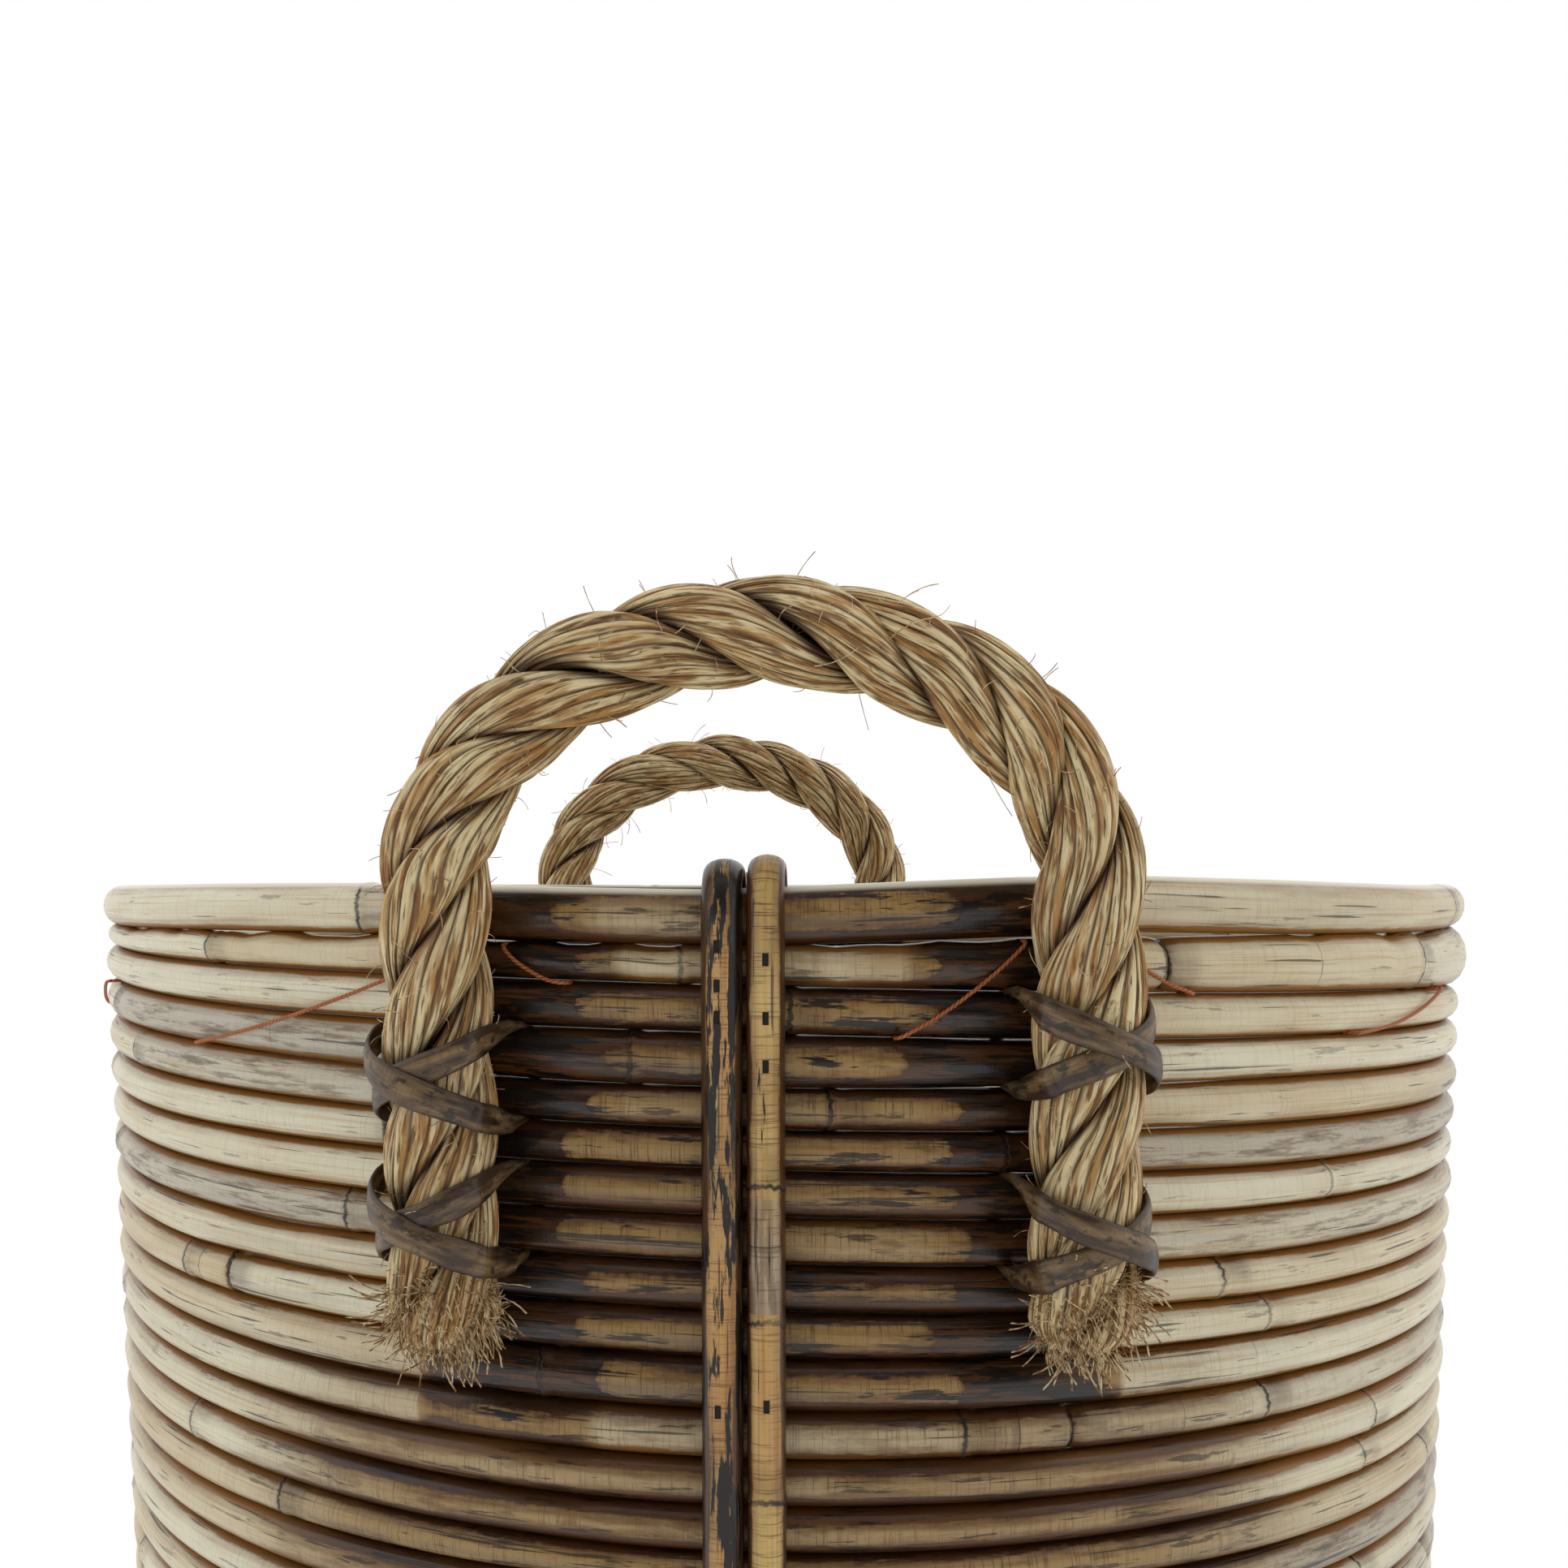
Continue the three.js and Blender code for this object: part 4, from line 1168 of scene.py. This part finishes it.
# Lashings
# Two bands of split cane hold each rope leg, and each crosses over it twice. They go in through the
# wall on both sides of the leg and round behind, and are pulled tight while wet.
lashing_width = 0.007
lashing_thickness = 0.0011
lashing_tail = 0.007
lashing_looseness = 0.00055
lashing_twist = 0.0022
lashing_kink = 0.0025
lashing_levels = {"left": (1, 4), "right": (1, 5)}
lashing_courses = 2
lashing_turns = {"outer": -95, "inner": 68}
lashing_climb = (0.12, 0.88)
over_steps = 12
lashing_steps = 4
width_wander = 0.06
# In the wall the band is this share of its width, and it widens over a distance outside.
narrow_share = 0.5
narrow_reach = 0.008
inside_gap = 0.00045
cane_width = 0.01016
# The band's section, as shares of its half width and its thickness: flat below, crowned above.
band_section = np.array([
    (-1, -0.1), (-0.93, 0.35), (-0.72, 0.72), (-0.38, 0.95), (0, 1.02), (0.38, 0.95),
    (0.72, 0.72), (0.93, 0.35), (1, -0.1), (0.9, -0.45), (0, -0.5), (-0.9, -0.45),
])
band_crown = 0.95


def joint_height(courses, counted_at, angle):
    """Height at an angle of the joint with so many whole courses above it at another angle."""
    share = (counted_at - strand_end_angle) / strand_turn % 1
    return coil_top - course_pitch * (courses + share + (angle - counted_at) / strand_turn)


def lashing_stops(handle_angle, sign, courses):
    """Places on the lashing's middle line, and the way that its face looks at each."""
    leg_angle = handle_angle + sign * leg_turn
    around = rope_radius + lashing_looseness + lashing_thickness / 2
    run = {"outer": -around, "inner": rope_radius}
    inside = -cane_width - inside_gap - lashing_thickness / 2
    stops = []
    # The band that falls to the right lies over the other.
    first_lift, second_lift = (0, lashing_thickness + 2 * seat_gap)[::sign]

    def angle_at(end):
        return leg_angle - sign * math.degrees(run[end] / leg_radius)

    def height_at(end, below):
        return joint_height(courses + below, leg_angle, angle_at(end))

    def on_wall(end, below, lift, off, facing):
        height = height_at(end, below)
        radius = wall_radius(height) + cane_width / 2 + off
        stops.append((place(angle_at(end), radius, height + lift), facing))

    def through(end, below, lift, outwards):
        beside = sideways(leg_angle) * (sign if end == "outer" else -sign)
        passage = [
            (lashing_kink * lift, inside, -outward(angle_at(end))),
            (0, -cane_width, up * lift),
            (0, -cane_width * 0.5, up * lift),
            (0, lashing_twist, unit(up * lift + beside)),
        ]
        for rise, off, facing in passage if outwards else passage[::-1]:
            on_wall(end, below, rise, off, facing)

    def over_rope(start, end, lift):
        low, high = height_at(*start), height_at(*end)
        for share in np.arange(over_steps + 1) / over_steps:
            turn = math.radians(np.interp(share, (0, 1), (lashing_turns[start[0]], lashing_turns[end[0]])))
            facing = outward(leg_angle) * math.cos(turn) - sideways(leg_angle) * sign * math.sin(turn)
            climb = np.interp(share, (0, 1), lashing_climb)
            middle = leg_middle(leg_angle, low + (high - low) * climb)
            stops.append((middle + facing * (around + lift), facing))

    on_wall("outer", 0, -lashing_tail, inside, -outward(angle_at("outer")))
    through("outer", 0, -1, True)
    over_rope(("outer", 0), ("inner", lashing_courses), first_lift)
    through("inner", lashing_courses, 1, False)
    through("inner", 0, -1, True)
    over_rope(("inner", 0), ("outer", lashing_courses), second_lift)
    through("outer", lashing_courses, 1, False)
    on_wall("outer", lashing_courses, lashing_tail, inside, -outward(angle_at("outer")))
    return stops


def spline(points, per_span):
    """A smooth curve through the points, with a number of steps between each two."""
    points = np.asarray(points, float)
    padded = np.concatenate([[2 * points[0] - points[1]], points, [2 * points[-1] - points[-2]]])
    result = []
    for i in range(1, len(padded) - 2):
        before, here, there, after = padded[i - 1:i + 3]
        for t in np.arange(per_span) / per_span:
            result.append(0.5 * (2 * here + (there - before) * t
                                 + (2 * before - 5 * here + 4 * there - after) * t ** 2
                                 + (3 * here - before - 3 * there + after) * t ** 3))
    return np.array([*result, points[-1]])


def lashing_material():
    """Dark split cane with a rubbed pale face, fibres along it, ticks across it and black blots."""
    shader = Shader("split_cane")
    where = shader.stored("cane", "Vector")
    edge = abs(shader.stored("edge"))
    rub = where.noise(60, 300, 1, detail=4, roughness=0.6)
    threads = where.noise(25, 2200, 1, roughness=0.6)
    ticks = where.noise(1700, 160, 1, detail=2)
    blots = where.noise(190, 330, 1, detail=4, roughness=0.65, shift=4)
    base = shader.layers(
        shader.mix((rub - 0.42) * 4, colour(60, 38, 17), colour(158, 128, 86)),
        (threads.ramp(0.5, 0.7) * 0.45, colour(78, 50, 26)),
        (ticks.ramp(0.52, 0.7) * 0.45, colour(84, 56, 30)),
        (blots.ramp(0.52, 0.62) * 0.85, colour(38, 24, 14)),
        ((edge + (rub - 0.5) * 0.3).ramp(0.62, 0.95) * 0.6, colour(52, 34, 20)),
    )
    return shader.finish(
        Base_Color=base,
        Roughness=0.42 + rub * 0.2,
        Coat_Weight=0.3,
        Coat_Roughness=0.2,
        Normal=shader.bump(threads * 0.6 + rub * 0.5, 0.0002),
    )


lashing_finish = lashing_material()


def lashing(face, side, number, courses):
    stops, ways = zip(*lashing_stops(handle_angles[face], signs[side], courses))
    middles = spline(stops, lashing_steps)
    ahead = directions(middles)
    facings = square_to(spline(ways, lashing_steps), ahead)
    across = np.cross(ahead, facings)
    seed = 101 + 10 * number + 20 * (side == "right") + 40 * (face == "back")
    along = lengths_along(middles)
    off_wall = np.hypot(middles[:, 0], middles[:, 1]) - wall_radius(middles[:, 2]) - cane_width / 2
    width = lashing_width / 2 * (1 + width_wander * waves(seed, 4, 0.01, 0.05)(along))
    width = width * (narrow_share + (1 - narrow_share) * smooth(off_wall, 0, narrow_reach))
    share, rise = band_section.T
    thickness = np.tile(lashing_thickness * band_crown * rise, (len(along), 1))
    points = swept(middles, across, facings, width[:, None] * share, thickness)
    sides, count = len(share), len(along)
    label = f"{face}_{side}_{('upper', 'lower')[number]}"
    obj = piece_of(f"band_{label}", points, ring_faces(count, sides), lashing_finish)
    flat = np.tile(share, count)
    give(obj, "cane", np.stack([np.repeat(along, sides) + seed, flat * lashing_width / 2, 0 * flat], -1))
    give(obj, "edge", flat)
    fit(obj, "lashing", f"lashing_{label}")


for face in handle_angles:
    for side, levels in lashing_levels.items():
        for number, courses in enumerate(levels):
            lashing(face, side, number, courses)

# Twine
# Copper-coloured twine of two plies laces the upper courses together beside the ropes. It runs in
# and out through the gaps between the canes.
twine_radius = 0.0005
twine_seat = 0.00045
twine_tail = 0.006
twine_lay = 0.0028
twine_slack = 0.002
twine_step = 0.0003
twine_steps = 8
# The least thickness across the two plies, and how much more it is along them, as shares.
ply_least = 0.72
ply_more = 0.32
twine_sides = 10
# Stops on a run are about so many degrees apart, with one this close to each hole.
twine_stop_turn = 3
hole_turn = 0.5
under_rim = -1
rim_bottom_gap = 0.00075
# Each hole's angle from the leg's, and its course.
twine_routes = {
    "left": ((-58.9, 2), (-45.9, 1), (-24.6, 2), (-4.9, 0), (2.4, under_rim), (6.5, 0)),
    "right": ((-10.3, 2), (-2.4, under_rim), (2.7, under_rim), (9.4, 1), (25.2, 2), (39.9, 1)),
}


def twine_material():
    shader = Shader("copper_twine")
    ply = shader.stored("ply")
    wear = shader.position().noise(300, 300, 300)
    copper = shader.mix(wear, colour(178, 88, 40), colour(206, 130, 76))
    return shader.finish(
        # Darker where the two plies meet: painted shade in the crease between them.
        Base_Color=shader.mix(ply.ramp(0.0, 0.7), colour(104, 46, 20), copper),
        Roughness=0.5 + wear * 0.15,
    )


twine_finish = twine_material()


def hole_height(leg_angle, angle, courses):
    if courses == under_rim:
        return rim_top - rim_height - rim_bottom_gap + float(rim_bend(rim_bottoms, angle))
    return joint_height(courses, leg_angle, angle)


def twine_stops(leg_angle, route):
    """Places on the twine's middle line. It leaves the wall at every other hole."""
    outside = twine_seat + twine_radius
    inside = -cane_width - outside
    holes = [(leg_angle + turn, hole_height(leg_angle, leg_angle + turn, courses))
             for turn, courses in route]
    tail_turn = math.degrees(twine_tail / rim_radius)
    stops = []

    def stop(angle, height, away):
        stops.append(place(angle, wall_radius(height) + cane_width / 2 + away, height))

    for turn in (tail_turn, tail_turn / 4):
        stop(holes[0][0] - turn, holes[0][1], inside)
    for k, (angle, height) in enumerate(holes):
        outwards = k % 2 == 0
        for depth_share in (1, 0.5, 0.1)[::1 if outwards else -1]:
            stop(angle, height, -cane_width * depth_share)
        if k == len(holes) - 1:
            continue
        span, climb = np.subtract(holes[k + 1], holes[k])
        shares = np.linspace(0, 1, max(4, int(span / twine_stop_turn)))[1:-1]
        for share in (hole_turn / span, *shares, 1 - hole_turn / span):
            sag = twine_slack * 4 * share * (1 - share) if outwards else 0
            stop(angle + span * share, height + climb * share - sag, outside if outwards else inside)
    for turn in (tail_turn / 4, tail_turn):
        stop(holes[-1][0] + turn, holes[-1][1], inside)
    return stops


def twine(face, side):
    leg_angle = handle_angles[face] + signs[side] * leg_turn
    stops = twine_stops(leg_angle, twine_routes[side])
    middles, along = even_steps(spline(stops, twine_steps), twine_step)
    ahead = directions(middles)
    across = unit(np.cross(ahead, up))
    other = np.cross(across, ahead)
    theta = full_turn(twine_sides)
    lobes = np.abs(np.cos(theta[None, :] - (2 * np.pi * along / twine_lay)[:, None]))
    radius = twine_radius * (ply_least + ply_more * lobes)
    points = swept(middles, across, other, radius * np.cos(theta), radius * np.sin(theta))
    obj = piece_of(f"thread_{face}_{side}", points, ring_faces(len(along), twine_sides), twine_finish)
    give(obj, "ply", lobes.ravel())
    fit(obj, "twine", f"twine_{face}_{side}")


for face in handle_angles:
    for side in twine_routes:
        twine(face, side)

# Light and floor
# The basket stands on a plain pale floor in a bright white room. Most light comes from behind, the
# sides and above, and less from the camera's side.
front_light = 0.22
glossy_share = 0.8
overhead_share = 0.25
dim_range = (-0.93, -0.4)
basket_edge = (0.18, 0.23)
shadow_reach = (0.26, 0.40)
floor_reach = 12
white = (1, 1, 1, 1)
floor_white = (0.86, 0.86, 0.85, 1)


def light_room():
    """A white room whose camera side is dim, above all overhead. The camera sees it all white."""
    world = bpy.data.worlds.new("white_room")
    world.use_nodes = True
    bpy.context.scene.world = world
    room = Nodes(world.node_tree)
    way = room.node("ShaderNodeTexCoord", output="Generated")
    bright = (way.part(1) - way.part(2) * overhead_share).ramp(*dim_range)
    shown = room.ray("Camera", "Transmission")
    dim = shown + (1 - shown) * (1 - room.ray("Glossy") * glossy_share) * front_light
    strength = bright + (1 - bright) * dim
    background = room.node("ShaderNodeBackground", {"Color": white, "Strength": strength})
    room.node("ShaderNodeOutputWorld", {"Surface": background})


def ground_material():
    """A matt floor that turns to plain white away from the basket and its shadow."""
    shader = Shader("pale_floor")
    seen = shader.ray("Camera", "Glossy", "Transmission")
    from_middle = shader.position().vector_math("LENGTH", {}, "Value")
    matt = shader.node("ShaderNodeBsdfDiffuse", {"Color": floor_white})
    plain = shader.node("ShaderNodeEmission", {"Color": white, "Strength": 1.0})
    share = seen * (from_middle.ramp(*basket_edge) + from_middle.ramp(*shadow_reach)) * 0.5
    surface = shader.node("ShaderNodeMixShader", {0: share, 1: matt, 2: plain})
    shader.node("ShaderNodeOutputMaterial", {"Surface": surface})
    return shader.material


light_room()
ground_corners = [(x * floor_reach, y * floor_reach, 0) for x, y in ((-1, -1), (1, -1), (1, 1), (-1, 1))]
piece_of("ground", ground_corners, [(0, 1, 2, 3)], ground_material())
bpy.context.scene.view_settings.view_transform = "Standard"
